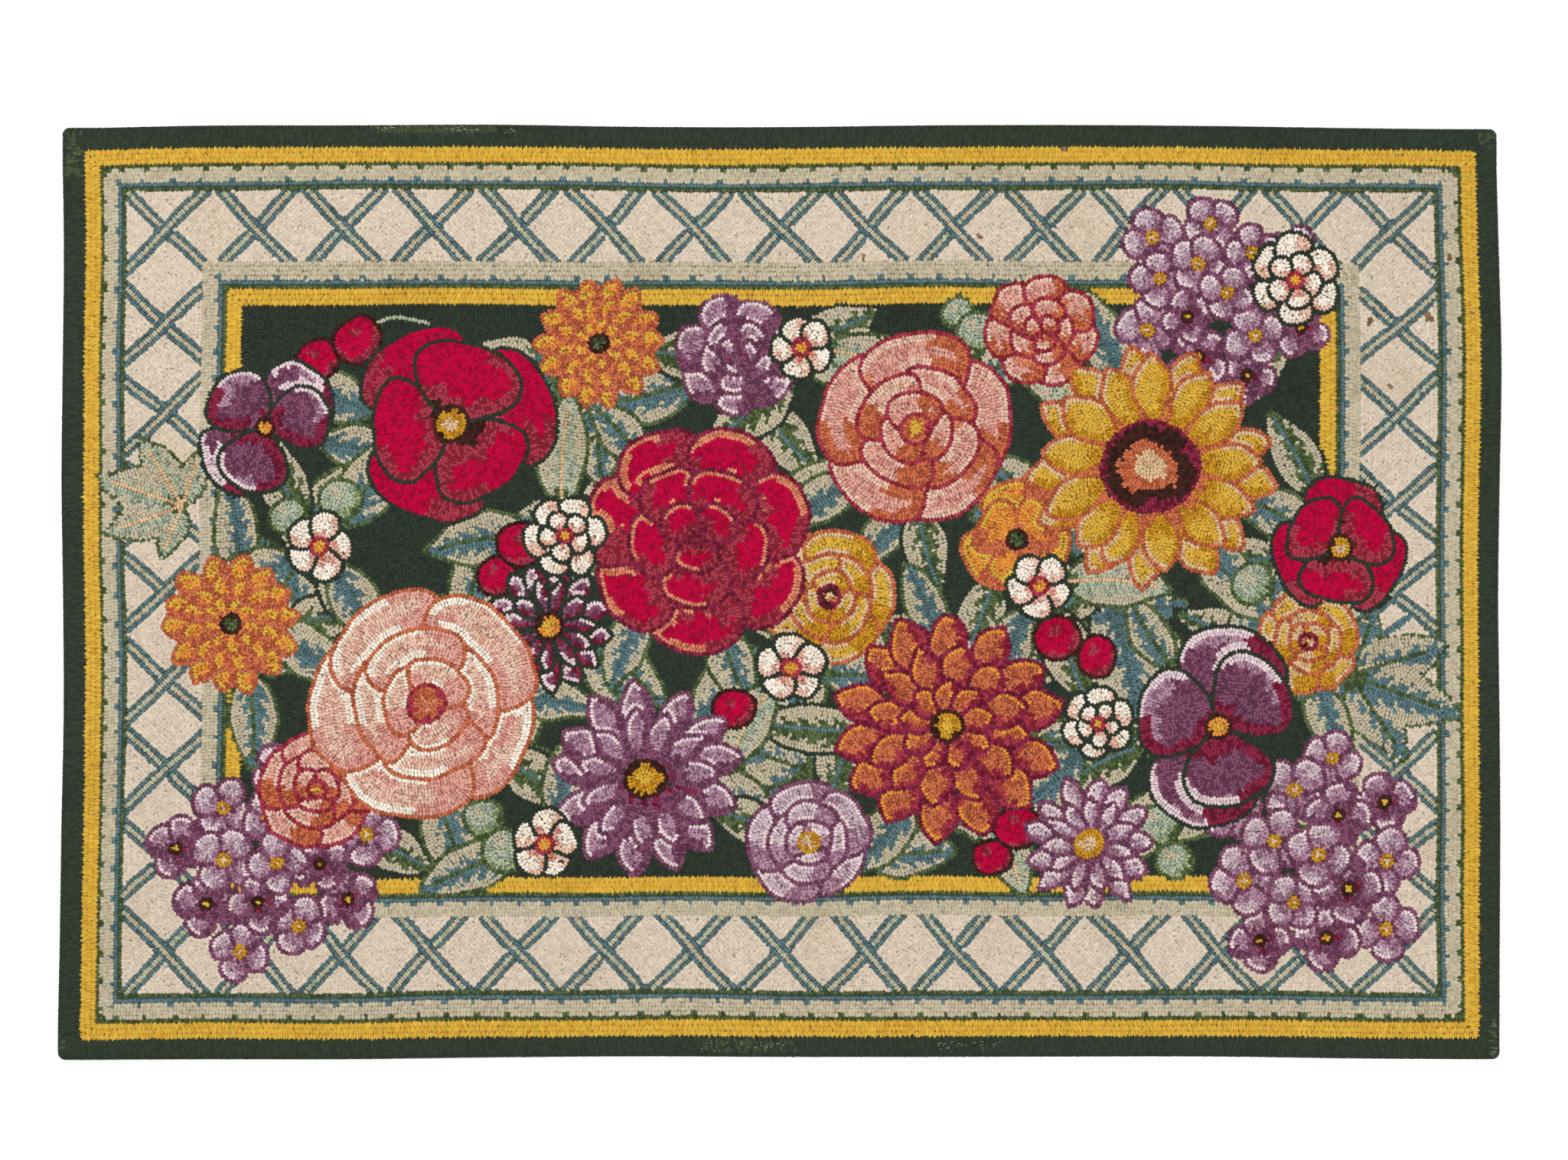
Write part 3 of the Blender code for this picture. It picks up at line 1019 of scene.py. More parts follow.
def level_lines(height, level):
    """The lines along which a grid of heights crosses a level, as lists of points in cells."""
    down, across = height.shape
    above = height > level
    code = above[:-1, :-1] + 2 * above[:-1, 1:] + 4 * above[1:, 1:] + 8 * above[1:, :-1]
    ends = []
    for pattern, pairs in CROSSINGS.items():
        j, i = np.nonzero(code == pattern)
        edges = (j * across + i, down * across + j * across + i + 1,
                 (j + 1) * across + i, down * across + j * across + i)
        ends += [np.stack([edges[first], edges[second]], 1) for first, second in pairs]
    ends = np.concatenate(ends)
    if not len(ends):
        return []
    names, index = np.unique(ends, return_inverse=True)
    index = index.reshape(-1, 2)
    flat = names < down * across
    place = np.where(flat, names, names - down * across)
    j, i = place // across, place % across
    j2, i2 = np.where(flat, j, j + 1), np.where(flat, i + 1, i)
    low, high = height[j, i], height[j2, i2]
    part = (level - low) / np.where(high == low, 1.0, high - low)
    points = np.stack([i + part * (i2 - i), j + part * (j2 - j)], 1)
    follows = dict(zip(index[:, 0].tolist(), index[:, 1].tolist()))
    starts = set(follows) - set(follows.values())
    lines = []
    for start in list(starts) + list(follows):
        if start not in follows:
            continue
        line, here = [start], start
        while here in follows:
            here = follows.pop(here)
            line.append(here)
        lines.append(points[line])
    return lines


def spaced(line, pitch, phase):
    """Places along a line at even spacing, with the line's direction at each."""
    run = np.diff(line, axis=0)
    gone = np.concatenate([[0.0], np.cumsum(np.hypot(run[:, 0], run[:, 1]))])
    total = gone[-1]
    count = int(round(total / pitch))
    if count < 1:
        return np.zeros((0, 3))
    at = (np.arange(count) + phase) * total / count
    x, y = np.interp(at, gone, line[:, 0]), np.interp(at, gone, line[:, 1])
    reach = AIM_REACH * pitch
    x1, y1 = np.interp(at - reach, gone, line[:, 0]), np.interp(at - reach, gone, line[:, 1])
    x2, y2 = np.interp(at + reach, gone, line[:, 0]), np.interp(at + reach, gone, line[:, 1])
    return np.stack([x, y, np.arctan2(y2 - y1, x2 - x1)], 1)


# How far every other strand of a band is moved across it, in millimetres.
STAGGER = 1.3


def hook_rows(items, cells, depth, row_pitch, draw):
    """Loops along every line of the drawing, then along the rows that follow its areas.

    Gives those of the evenly hooked kinds first, and all others second.
    """
    even, loops = [], []
    for number, item in enumerate(items):
        kind = LOOP_KINDS[item["kind"]]
        for line in item["lines"] or ():
            found = spaced(line, kind["pitch"], draw.uniform(*ROW_START))
            stray = kind["stray"] * draw.uniform(-1, 1, len(found))
            if item["kind"] == "strand":
                stray += STAGGER * (np.arange(len(found)) % 2 - 0.5)
            found[:, 0] -= stray * np.sin(found[:, 2])
            found[:, 1] += stray * np.cos(found[:, 2])
            j, i = cell_of(found[:, 0], found[:, 1], cells)
            mine = found[cells[j, i] == number]
            (even if item["kind"] in EVEN_KINDS else loops).append(mine)
    lined = np.array([item["lines"] is not None for item in items] + [True])
    depth = np.where(lined[cells], 0.0, depth)
    pitch = LOOP_KINDS["row"]["pitch"]
    level = 0.5 * row_pitch
    while level < depth.max():
        for line in level_lines(depth, level):
            line = (line + 0.5) * CELL - np.array([DRAWN_LENGTH, DRAWN_WIDTH]) / 2
            loops.append(spaced(line, pitch, draw.uniform(*ROW_START)))
        level += row_pitch
    return np.concatenate(even), np.concatenate(loops)


# Loops closer than the first share of their spacing are left out, and a place farther than
# the second share from any loop gets one more.
THINNEST = 0.78
WIDEST = 0.83
# Thinning sorts loops into cells of the least distance divided by this.
THIN_CELLS = 1.5
# Gaps are looked for on cells this wide, and this far inside the whipping, in millimetres.
FILL_CELL = 0.75
FILL_INSET = 1.5


def thin_out(loops, least):
    """Leave out loops that stand closer than least to an earlier one."""
    cell = least / THIN_CELLS
    i = ((loops[:, 0] + DRAWN_LENGTH) / cell).astype(int)
    j = ((loops[:, 1] + DRAWN_WIDTH) / cell).astype(int)
    width, height = i.max() + 3, j.max() + 3
    first = np.full((height, width), len(loops), np.int64)
    np.minimum.at(first, (j, i), np.arange(len(loops)))
    kept = first[j, i] == np.arange(len(loops))
    padded = np.vstack([loops[:, :2], [[FAR, FAR]]])
    for dj in range(-2, 3):
        for di in range(-2, 3):
            if dj == 0 and di == 0:
                continue
            other = first[np.clip(j + dj, 0, height - 1), np.clip(i + di, 0, width - 1)]
            gap = np.hypot(loops[:, 0] - padded[other, 0], loops[:, 1] - padded[other, 1])
            kept &= ~((gap < least) & (other < np.arange(len(loops))))
    return loops[kept]


def fill_gaps(loops, items, cells, depth, least, draw):
    """Add loops wherever a bare place is left between the rows."""
    fine = FILL_CELL
    wide, high = int(DRAWN_LENGTH / fine) + 1, int(DRAWN_WIDTH / fine) + 1
    reach = int(least / fine) + 1
    offsets = [(dj, di) for dj in range(-reach, reach + 1) for di in range(-reach, reach + 1)
               if math.hypot(dj, di) * fine < least]
    i = ((loops[:, 0] + DRAWN_LENGTH / 2) / fine).astype(int)
    j = ((loops[:, 1] + DRAWN_WIDTH / 2) / fine).astype(int)
    bare = np.ones((high, wide), bool)
    for dj, di in offsets:
        bare[np.clip(j + dj, 0, high - 1), np.clip(i + di, 0, wide - 1)] = False
    js, is_ = np.nonzero(bare)
    x, y = (is_ + 0.5) * fine - DRAWN_LENGTH / 2, (js + 0.5) * fine - DRAWN_WIDTH / 2
    gone = edge_distances(x, y)
    cell_j, cell_i = cell_of(x, y, cells)
    even = np.array([item["kind"] in EVEN_KINDS for item in items])[cells[cell_j, cell_i]]
    inside_edge = np.minimum.reduce([gone[side] - WHIPPED[side] for side in SIDES])
    inner = ~even & (inside_edge > FILL_INSET)
    js, is_, x, y = js[inner], is_[inner], x[inner], y[inner]
    disc_j = np.array([offset[0] for offset in offsets])
    disc_i = np.array([offset[1] for offset in offsets])
    slope_y, slope_x = np.gradient(depth)
    cell_j, cell_i = cell_of(x, y, cells)
    angle = np.arctan2(slope_x[cell_j, cell_i], -slope_y[cell_j, cell_i])
    added = []
    for number in draw.permutation(len(js)).tolist():
        if bare[js[number], is_[number]]:
            added.append((x[number], y[number], angle[number]))
            at_j = np.clip(disc_j + js[number], 0, high - 1)
            at_i = np.clip(disc_i + is_[number], 0, wide - 1)
            bare[at_j, at_i] = False
    return np.array(added).reshape(-1, 3)


def choose_yarns(loops, items, cells, depth):
    """The yarn and kind of each loop, from its item, with spots and worn places."""
    x, y = loops[:, 0], loops[:, 1]
    j, i = cell_of(x, y, cells)
    kinds = np.array([KIND_NAMES.index(item["kind"]) for item in items])[cells[j, i]]
    yarns = drawn_yarns(x, y, items, cells, depth)
    draw = np.random.default_rng(SEED)
    for spot in SPOTS:
        away = np.hypot(x - spot["at"][0], y - spot["at"][1])
        stained = (away < spot["radius"]) & (draw.random(len(loops)) < SPOT_SHARE)
        yarns[stained] = YARN_NAMES.index("stain")
    in_cusp = np.isin(yarns, [YARN_NAMES.index(name) for name in CUSP_YARNS])
    kinds[in_cusp & (kinds == KIND_NAMES.index("band"))] = KIND_NAMES.index("row")
    return worn_yarns(x, y, yarns, draw), kinds


def drawn_yarns(x, y, items, cells, depth):
    """The yarns that the drawing has at some places."""
    j, i = cell_of(x, y, cells)
    owner, deep = cells[j, i], depth[j, i]
    order = np.argsort(owner, kind="stable")
    starts = np.searchsorted(owner[order], np.arange(len(items) + 1))
    found = np.zeros(len(x), int)
    for number, item in enumerate(items):
        mine = order[starts[number]:starts[number + 1]]
        if len(mine):
            draw = np.random.default_rng(SEED + number)
            found[mine] = item["paint"](x[mine], y[mine], deep[mine], draw)
    return found


def frayed_bits(draw):
    """Short bits of yarn at the frayed places: place and direction, yarn and kind."""
    found, yarns = [], []
    for spot in FRAYED:
        for _ in range(spot["bits"]):
            off_x, off_y = draw.uniform(-1, 1, 2) * spot["reach"]
            found.append((spot["at"][0] + off_x, spot["at"][1] + off_y, -math.pi / 2))
            yarns.append(YARN_NAMES.index(FRAYED_YARNS[draw.integers(len(FRAYED_YARNS))]))
    return np.array(found), np.array(yarns), np.full(len(found), KIND_NAMES.index("scuff"))


def worn_yarns(x, y, yarns, draw):
    """Yarns changed at the worn places along the edge."""
    yarns = yarns.copy()
    for place in WORN:
        off_x = np.abs(x - place["at"][0]) / place["reach"][0]
        off_y = np.abs(y - place["at"][1]) / place["reach"][1]
        worn = (off_x < 1) & (off_y < 1) & (draw.random(len(x)) < place["share"])
        yarns[worn] = YARN_NAMES.index(WORN_YARN)
    return yarns


@functools.cache
def design():
    """The drawing: its items, its cells and each cell's distance from its item's border."""
    items = field_items() + border_items() + [ground_item()]
    cells = draw_cells(items)
    return items, cells, from_borders(cells)


def make_loops(row_pitch):
    """Every loop of the pile: place and row direction in the drawing, yarn and kind."""
    items, cells, depth = design()
    draw = np.random.default_rng(SEED)
    even, loops = hook_rows(items, cells, depth, row_pitch, draw)
    pitch = LOOP_KINDS["row"]["pitch"]
    loops = np.concatenate([even, thin_out(loops, THINNEST * pitch)])
    added = fill_gaps(loops, items, cells, depth, WIDEST * pitch, draw)
    loops = np.concatenate([loops, added])
    hooked = (loops, *choose_yarns(loops, items, cells, depth))
    return [np.concatenate(both) for both in zip(hooked, frayed_bits(draw))]


# From the drawing to the rug's own uneven outline

# The widest ring of the solid's rim lies between these heights, and its corners begin this
# far inside its ends, in metres.
RIM_RING = (0.0030, 0.0038)
RIM_CORNER = 0.022
# Hand-drawn lines wander, fully so from this far inside the edge, over this length, in
# millimetres.
WANDER_FROM = 60.0
WANDER_OVER = 190.0


def read_points(data):
    """The points of a mesh as an array."""
    points = np.zeros(len(data.vertices) * 3, np.float32)
    data.vertices.foreach_get("co", points)
    return points.reshape(-1, 3)


def edge_curves():
    """The rug's four uneven edges, from the widest ring of its solid's rim."""
    points = read_points(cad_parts[CAD_RUG].data)
    rim = points[(points[:, 2] > RIM_RING[0]) & (points[:, 2] < RIM_RING[1])]
    limit = (rim[:, 0].max() - RIM_CORNER, rim[:, 1].max() - RIM_CORNER)
    curves = {}
    for side, axis, sign in (("left", 0, -1), ("right", 0, 1), ("bottom", 1, -1), ("top", 1, 1)):
        other = 1 - axis
        mine = rim[(sign * rim[:, axis] > limit[axis]) & (np.abs(rim[:, other]) < limit[other])]
        order = np.argsort(mine[:, other])
        curves[side] = (mine[order, other], mine[order, axis])
    return curves


def to_rug(x, y, curves):
    """Places on the rug, in metres, of places in the drawing, in millimetres."""
    gone = edge_distances(x, y)
    near = np.minimum.reduce([gone[side] for side in SIDES])
    fade = np.clip(near / WANDER_FROM, 0.0, 1.0)
    x = x + fade * waves(x, y, WANDER_OVER, WANDER_SEEDS[0])
    y = y + fade * waves(x, y, WANDER_OVER, WANDER_SEEDS[1])
    sides = {}
    for side in SIDES:
        at, value = curves[side]
        sides[side] = np.interp((y if side in ("left", "right") else x) * MM, at, value)
    part_x, part_y = x / DRAWN_LENGTH + 0.5, y / DRAWN_WIDTH + 0.5
    return (sides["left"] + (sides["right"] - sides["left"]) * part_x,
            sides["bottom"] + (sides["top"] - sides["bottom"]) * part_y)


def linear(value):
    """Turn sRGB, as a hex value or numbers from 0 to 1, to linear colour by its own formula."""
    if isinstance(value, str):
        value = [int(value[start:start + 2], 16) / 255 for start in (1, 3, 5)]
    value = np.asarray(value, float)
    return np.where(value <= 0.04045, value / 12.92, ((value + 0.055) / 1.055) ** 2.4)


def main_colours(settings):
    """The main colour of every yarn, as set in the panel."""
    return np.array([getattr(settings, name.replace(" ", "_")) for name in YARN_NAMES])


def yarn_colours(yarns, settings, draw):
    """Each loop's own colour: its yarn or that yarn's fleck, a little lighter or darker."""
    mains = main_colours(settings)
    flecks = np.array([linear(YARNS[name]["fleck"]) for name in YARN_NAMES])
    shares = np.array([YARNS[name]["share"] for name in YARN_NAMES])
    flecked = draw.random(len(yarns)) < shares[yarns]
    colours = np.where(flecked[:, None], flecks[yarns], mains[yarns])
    return colours * np.exp(settings.variation * draw.normal(size=(len(yarns), 1)))


# Materials

def add_node(tree, kind, links=None, values=None, **settings):
    """Add a node with its settings, the values of its inputs, and links to others of them."""
    node = tree.nodes.new(kind)
    for name, value in settings.items():
        setattr(node, name, value)
    for name, value in (values or {}).items():
        node.inputs[name].default_value = value
    for name, source in (links or {}).items():
        tree.links.new(source, node.inputs[name])
    return node


def new_material(name, values):
    """A material whose Principled shader has some values, its nodes and that shader."""
    material = bpy.data.materials.new(name)
    material.use_nodes = True
    shader = material.node_tree.nodes["Principled BSDF"]
    for socket, value in values.items():
        shader.inputs[socket].default_value = value
    return material, material.node_tree, shader


def yarn_colour(tree):
    """The colour that each point of a piece carries."""
    node = add_node(tree, "ShaderNodeAttribute", attribute_name="yarn", attribute_type="GEOMETRY")
    return node.outputs["Color"]


def toned(tree, colour, by):
    """A colour made lighter or darker by a factor."""
    links = {"Vector": colour, "Scale": by}
    return add_node(tree, "ShaderNodeVectorMath", links, operation="SCALE").outputs["Vector"]


# Hairs and twist of the yarn are about 1.2 mm, drawn a little coarser than real so that they
# show. Soil lies in faint brown clouds, a hand's breadth across.
WOOL = {"Roughness": 0.92, "IOR": 1.5, "Specular IOR Level": 0.05, "Sheen Weight": 0.04,
        "Sheen Roughness": 0.35}
WOOL_FIBRE = {"Scale": 620.0, "Detail": 2.0}
WOOL_TONE = {"From Min": 0.3, "From Max": 0.7, "To Min": 0.94, "To Max": 1.05}
WOOL_BUMP = {"Strength": 0.25, "Distance": 0.0004}
SOIL_CLOUD = {"Scale": 9.0, "Detail": 4.0}
SOIL_SHARE = {"From Min": 0.52, "From Max": 0.72, "To Max": 0.22}
SOIL = "#c9b394"
# The spacing of the cotton's threads, and how often a wave texture of scale 1 repeats.
COTTON_THREAD = 0.0024
WAVE_UNIT = 2 * math.pi / 20
COTTON = {"Roughness": 0.95, "Specular IOR Level": 0.15}
COTTON_WEAVE = {"Scale": WAVE_UNIT / COTTON_THREAD, "Distortion": 0.6}
COTTON_TONE = {"To Min": 0.72, "To Max": 1.06}
COTTON_BUMP = {"Strength": 0.6, "Distance": 0.0006}
COTTON_COLOUR = "#b9a17c"
PAPER = {"Roughness": 0.9, "Specular IOR Level": 0.1}
PAPER_COLOUR = "#f7f7f5"
# Inputs and output of a mix node that hold colours.
MIX_FIRST, MIX_SECOND, MIX_RESULT = 6, 7, 2


def wool_yarn_material():
    """Hooked wool yarn.

    Worsted yarn of two plies, dyed and pulled up in uncut loops. It is matt, its fine hairs
    catch a soft light at grazing angles, and its twist gives each loop faint slanting ribs.
    """
    material, tree, shader = new_material("Hooked wool yarn", WOOL)
    place = add_node(tree, "ShaderNodeTexCoord").outputs["Object"]
    fibre = add_node(tree, "ShaderNodeTexNoise", {"Vector": place}, WOOL_FIBRE).outputs["Fac"]
    tone = add_node(tree, "ShaderNodeMapRange", {"Value": fibre}, WOOL_TONE)
    cloud = add_node(tree, "ShaderNodeTexNoise", {"Vector": place}, SOIL_CLOUD).outputs["Fac"]
    soil = add_node(tree, "ShaderNodeMapRange", {"Value": cloud}, SOIL_SHARE)
    mix = add_node(tree, "ShaderNodeMix", {
        "Factor": soil.outputs["Result"],
        MIX_FIRST: toned(tree, yarn_colour(tree), tone.outputs["Result"]),
    }, {MIX_SECOND: (*linear(SOIL), 1.0)}, data_type="RGBA", blend_type="MULTIPLY")
    bump = add_node(tree, "ShaderNodeBump", {"Height": fibre}, WOOL_BUMP)
    tree.links.new(mix.outputs[MIX_RESULT], shader.inputs["Base Color"])
    tree.links.new(bump.outputs["Normal"], shader.inputs["Normal"])
    return material


def foundation_material():
    """Cotton foundation cloth.

    Plain-woven unbleached cotton, 2.4 mm between threads. Underneath, the yarn's flat
    stitches show in the design's colours; at the roots of the pile its colour carries painted shade.
    """
    material, tree, shader = new_material("Cotton foundation cloth", COTTON)
    place = {"Vector": add_node(tree, "ShaderNodeTexCoord").outputs["Object"]}
    warp, weft = [add_node(tree, "ShaderNodeTexWave", place, COTTON_WEAVE, bands_direction=way)
                  for way in ("X", "Y")]
    threads = {0: warp.outputs["Fac"], 1: weft.outputs["Fac"]}
    weave = add_node(tree, "ShaderNodeMath", threads, operation="MULTIPLY").outputs["Value"]
    tone = add_node(tree, "ShaderNodeMapRange", {"Value": weave}, COTTON_TONE)
    bump = add_node(tree, "ShaderNodeBump", {"Height": weave}, COTTON_BUMP)
    lit = toned(tree, yarn_colour(tree), tone.outputs["Result"])
    tree.links.new(lit, shader.inputs["Base Color"])
    tree.links.new(bump.outputs["Normal"], shader.inputs["Normal"])
    return material


def paper_material():
    """Studio background paper: matt, white and plain."""
    colour = {"Base Color": (*linear(PAPER_COLOUR), 1.0)}
    return new_material("White background paper", {**PAPER, **colour})[0]


def get_material(name, make):
    """A material by name, made once."""
    return bpy.data.materials.get(name) or make()


# Pieces

def paint_points(data, colours):
    """Give each point of a mesh its own colour."""
    layer = data.color_attributes.new("yarn", "FLOAT_COLOR", "POINT")
    rgba = np.concatenate([colours, np.ones((len(colours), 1))], 1)
    layer.data.foreach_set("color", rgba.astype(np.float32).ravel())


def mesh_from_arrays(name, points, triangles, colours):
    """A new object from arrays of points, triangles and one colour for each point."""
    data = bpy.data.meshes.new(name)
    data.vertices.add(len(points))
    data.vertices.foreach_set("co", points.astype(np.float32).ravel())
    data.loops.add(triangles.size)
    data.loops.foreach_set("vertex_index", triangles.astype(np.int32).ravel())
    data.polygons.add(len(triangles))
    data.polygons.foreach_set("loop_start", np.arange(0, triangles.size, 3, dtype=np.int32))
    data.polygons.foreach_set("loop_total", np.full(len(triangles), 3, dtype=np.int32))
    data.update(calc_edges=True)
    paint_points(data, colours)
    data.polygons.foreach_set("use_smooth", np.ones(len(triangles), bool))
    data.update()
    piece = bpy.data.objects.new(name, data)
    bpy.context.scene.collection.objects.link(piece)
    return piece


def flat_map(piece, corner, size):
    """Give a flat piece a map of its plan."""
    data = piece.data
    layer = data.uv_layers.new(name="OFBake")
    index = np.zeros(len(data.loops), np.int32)
    data.loops.foreach_get("vertex_index", index)
    plan = read_points(data)[index, :2]
    layer.data.foreach_set("uv", ((plan - np.asarray(corner)) / np.asarray(size)).ravel())


# A loop: places of its 6 points as shares of its length, width and height, and its faces.
LOOP_POINTS = np.array([
    (-1.0, 0.0, 0.0), (0.0, -1.0, 0.0), (1.0, 0.0, 0.0), (0.0, 1.0, 0.0),
    (-0.46, 0.0, 1.0), (0.46, 0.0, 1.0)])
LOOP_FACES = np.array([
    (0, 2, 1), (0, 3, 2), (0, 1, 4), (1, 5, 4), (1, 2, 5), (2, 3, 5), (3, 4, 5), (3, 0, 4)])

# How single loops differ: their length and width as shares, and the spread of their height
# and of how far they lean, in metres.
LOOP_LENGTHS = (0.88, 1.12)
LOOP_WIDTHS = (0.92, 1.08)
LOOP_HEIGHTS = 0.00014
LOOP_LEAN = 0.00025
# The solid's waves, as its own source has them: their height in metres, and along and across
# the rug their number and phase.
RUG_LENGTH = 1.830
RUG_WIDTH = 1.186
SWELL = 0.00035
SWELL_ALONG = (3.5, 0.8)
SWELL_ACROSS = (2.3, 0.3)


def swell(x, y):
    """The pile's slight long waves, as in its solid."""
    along = np.sin(2 * math.pi * SWELL_ALONG[0] * x / RUG_LENGTH + SWELL_ALONG[1])
    return SWELL * along * np.cos(2 * math.pi * SWELL_ACROSS[0] * y / RUG_WIDTH + SWELL_ACROSS[1])


def loop_mesh(x, y, angle, kinds, sizes, draw):
    """The points of every loop, each loop lying across its row."""
    count = len(x)
    def of_kind(column):
        return np.array([LOOP_KINDS[name][column] for name in KIND_NAMES])[kinds]
    length = of_kind("length") * MM * sizes.loop_scale
    width = of_kind("width") * MM * sizes.loop_scale
    long_half = length / 2 * draw.uniform(*LOOP_LENGTHS, count)
    wide_half = width / 2 * draw.uniform(*LOOP_WIDTHS, count)
    high = sizes.pile_top + swell(x, y) + of_kind("proud") * MM + draw.normal(0, LOOP_HEIGHTS, count)
    low = high - of_kind("height") * MM * sizes.relief
    across = angle + math.pi / 2 + of_kind("unrest") * draw.normal(0, 1.0, count)
    lean = draw.normal(0, LOOP_LEAN, (count, 2))
    shape = LOOP_POINTS[None, :, :]
    along_x = shape[..., 0] * long_half[:, None]
    along_y = shape[..., 1] * wide_half[:, None]
    c, s = np.cos(across)[:, None], np.sin(across)[:, None]
    points = np.empty((count, len(LOOP_POINTS), 3))
    points[..., 0] = x[:, None] + along_x * c - along_y * s + shape[..., 2] * lean[:, :1]
    points[..., 1] = y[:, None] + along_x * s + along_y * c + shape[..., 2] * lean[:, 1:]
    points[..., 2] = low[:, None] + shape[..., 2] * (high - low)[:, None]
    return points


# The rug's corners, counter-clockwise: the side of the length and of the width, and the
# direction in which each arc starts.
RIM_CORNERS = ((1, -1, -90), (1, 1, 0), (-1, 1, 90), (-1, -1, 180))
CORNER_STEPS = 8


def rim_line(pitch, curves):
    """Even places round the rug's outline, with the direction along it at each."""
    x, y = DRAWN_LENGTH / 2 - CORNER_RADIUS, DRAWN_WIDTH / 2 - CORNER_RADIUS
    line = []
    for sx, sy, start in RIM_CORNERS:
        for step in range(CORNER_STEPS + 1):
            line.append(beside((sx * x, sy * y), CORNER_RADIUS, start + 90 * step / CORNER_STEPS))
    line = np.array(line + line[:1])
    run = np.diff(line, axis=0)
    gone = np.concatenate([[0.0], np.cumsum(np.hypot(run[:, 0], run[:, 1]))])
    at = np.arange(int(gone[-1])) * gone[-1] / int(gone[-1])
    drawn_x, drawn_y = np.interp(at, gone, line[:, 0]), np.interp(at, gone, line[:, 1])
    rug_line = np.stack(to_rug(drawn_x, drawn_y, curves), 1)
    found = spaced(np.concatenate([rug_line, rug_line[:1]]), pitch, 0.5)
    return found[:, 0], found[:, 1], np.cos(found[:, 2]), np.sin(found[:, 2])


# The way of a whipping stitch round the rim, from below: how far inside the edge and how high
# it lies, in metres, and how far its crest stands out and up there, as shares.
WHIP_WAY = np.array([
    (0.0085, 0.0003, 0.0, -0.2),
    (0.0025, 0.0004, 0.5, -0.1),
    (0.0003, 0.0026, 1.0, 0.0),
    (0.0008, 0.0058, 1.0, 0.3),
    (0.0036, 0.0079, 0.5, 0.9),
    (0.0080, 0.0064, 0.0, 1.0)])
# Half a stitch's width as a share of the spacing, and how it differs. Then in metres: how far
# a stitch slants, how far its crest stands out, its shift along the rim, how far its sides
# lie inwards and down, and the least height.
WHIP_HALF = 0.62
WHIP_WIDTHS = (0.92, 1.08)
WHIP_SLANT = 0.0012
WHIP_CREST = 0.0006
WHIP_CRESTS = (0.7, 1.3)
WHIP_SHIFT = (-0.0003, 0.0003)
WHIP_IN = 0.0005
WHIP_DOWN = 0.0004
WHIP_LEAST = 0.0001


def whip_mesh(x, y, run_x, run_y, sizes, draw):
    """The points and faces of every whipping stitch: a rounded strand over the rim."""
    count, steps = len(x), len(WHIP_WAY)
    inset, height, out, up = WHIP_WAY.T[:, None, :, None]
    side = np.array([-1.0, 0.0, 1.0])[None, None, :]
    crest = np.array([0.0, 1.0, 0.0])[None, None, :]
    half = WHIP_HALF * sizes.whip_pitch * draw.uniform(*WHIP_WIDTHS, (count, 1, 1))
    slant = WHIP_SLANT * (np.arange(steps) / (steps - 1) - 0.5)[None, :, None]
    proud = WHIP_CREST * draw.uniform(*WHIP_CRESTS, (count, 1, 1))
    along = side * half + slant + draw.uniform(*WHIP_SHIFT, (count, 1, 1))
    inward = inset - proud * crest * out + (1 - crest) * WHIP_IN * out
    points = np.empty((count, steps, 3, 3))
    points[..., 0] = x[:, None, None] + run_x[:, None, None] * along - run_y[:, None, None] * inward
    points[..., 1] = y[:, None, None] + run_y[:, None, None] * along + run_x[:, None, None] * inward
    lifted = height + proud * crest * up - (1 - crest) * WHIP_DOWN * (up > 0)
    points[..., 2] = np.maximum(lifted, WHIP_LEAST)
    faces = []
    for step in range(steps - 1):
        low, high = step * 3, step * 3 + 3
        for first, second in ((0, 1), (1, 2), (2, 0)):
            faces.append((low + first, high + first, high + second))
            faces.append((low + first, high + second, low + second))
    faces.append((0, 1, 2))
    last = (steps - 1) * 3
    faces.append((last, last + 2, last + 1))
    return points.reshape(count, steps * 3, 3), np.array(faces)


def joined(points, faces):
    """Arrays of many like pieces as one list of points and one of triangles."""
    count, each = points.shape[0], points.shape[1]
    triangles = faces[None, :, :] + (np.arange(count) * each)[:, None, None]
    return points.reshape(-1, 3), triangles.reshape(-1, 3)


# Settings, one operator for each piece, and the panel

class RugSizes(bpy.types.PropertyGroup):
    """The sizes of the rug's cloth, loops and edge."""

    row_pitch: FloatProperty(name="Row pitch", description="Spacing of rows of loops",
                             default=0.0047, unit="LENGTH", precision=4)
    loop_scale: FloatProperty(name="Loop scale", description="Size of the loops for their spacing",
                              default=1.0, min=0.5, max=1.5)
    pile_top: FloatProperty(name="Pile top", description="Height of the tops of the loops",
                            default=0.0082, unit="LENGTH", precision=4)
    relief: FloatProperty(name="Relief", description="Depth of the valleys between loops",
                          default=1.0, min=0.2, max=2.0)
    whip_pitch: FloatProperty(name="Whipping pitch", description="Spacing of the edge's stitches",
                              default=0.0032, unit="LENGTH", precision=4)
    tiles_along: IntProperty(name="Tiles along", description="Pieces of pile along the rug",
                             default=5, min=1)
    tiles_across: IntProperty(name="Tiles across", description="Pieces of pile across the rug",
                              default=3, min=1)


def yarn_properties():
    """One colour setting for each yarn."""
    found = {}
    for name, yarn in YARNS.items():
        found[name.replace(" ", "_")] = FloatVectorProperty(
            name=name.capitalize(), description=f"Colour of the {name} yarn",
            default=tuple(linear(yarn["main"])), subtype="COLOR", min=0.0, max=1.0)
    found["variation"] = FloatProperty(
        name="Variation", description="How much loops of one yarn differ in lightness",
        default=0.05, min=0.0, max=0.5)
    return found


class RugYarns(bpy.types.PropertyGroup):
    """The colours of the wool yarns."""

    __annotations__ = yarn_properties()


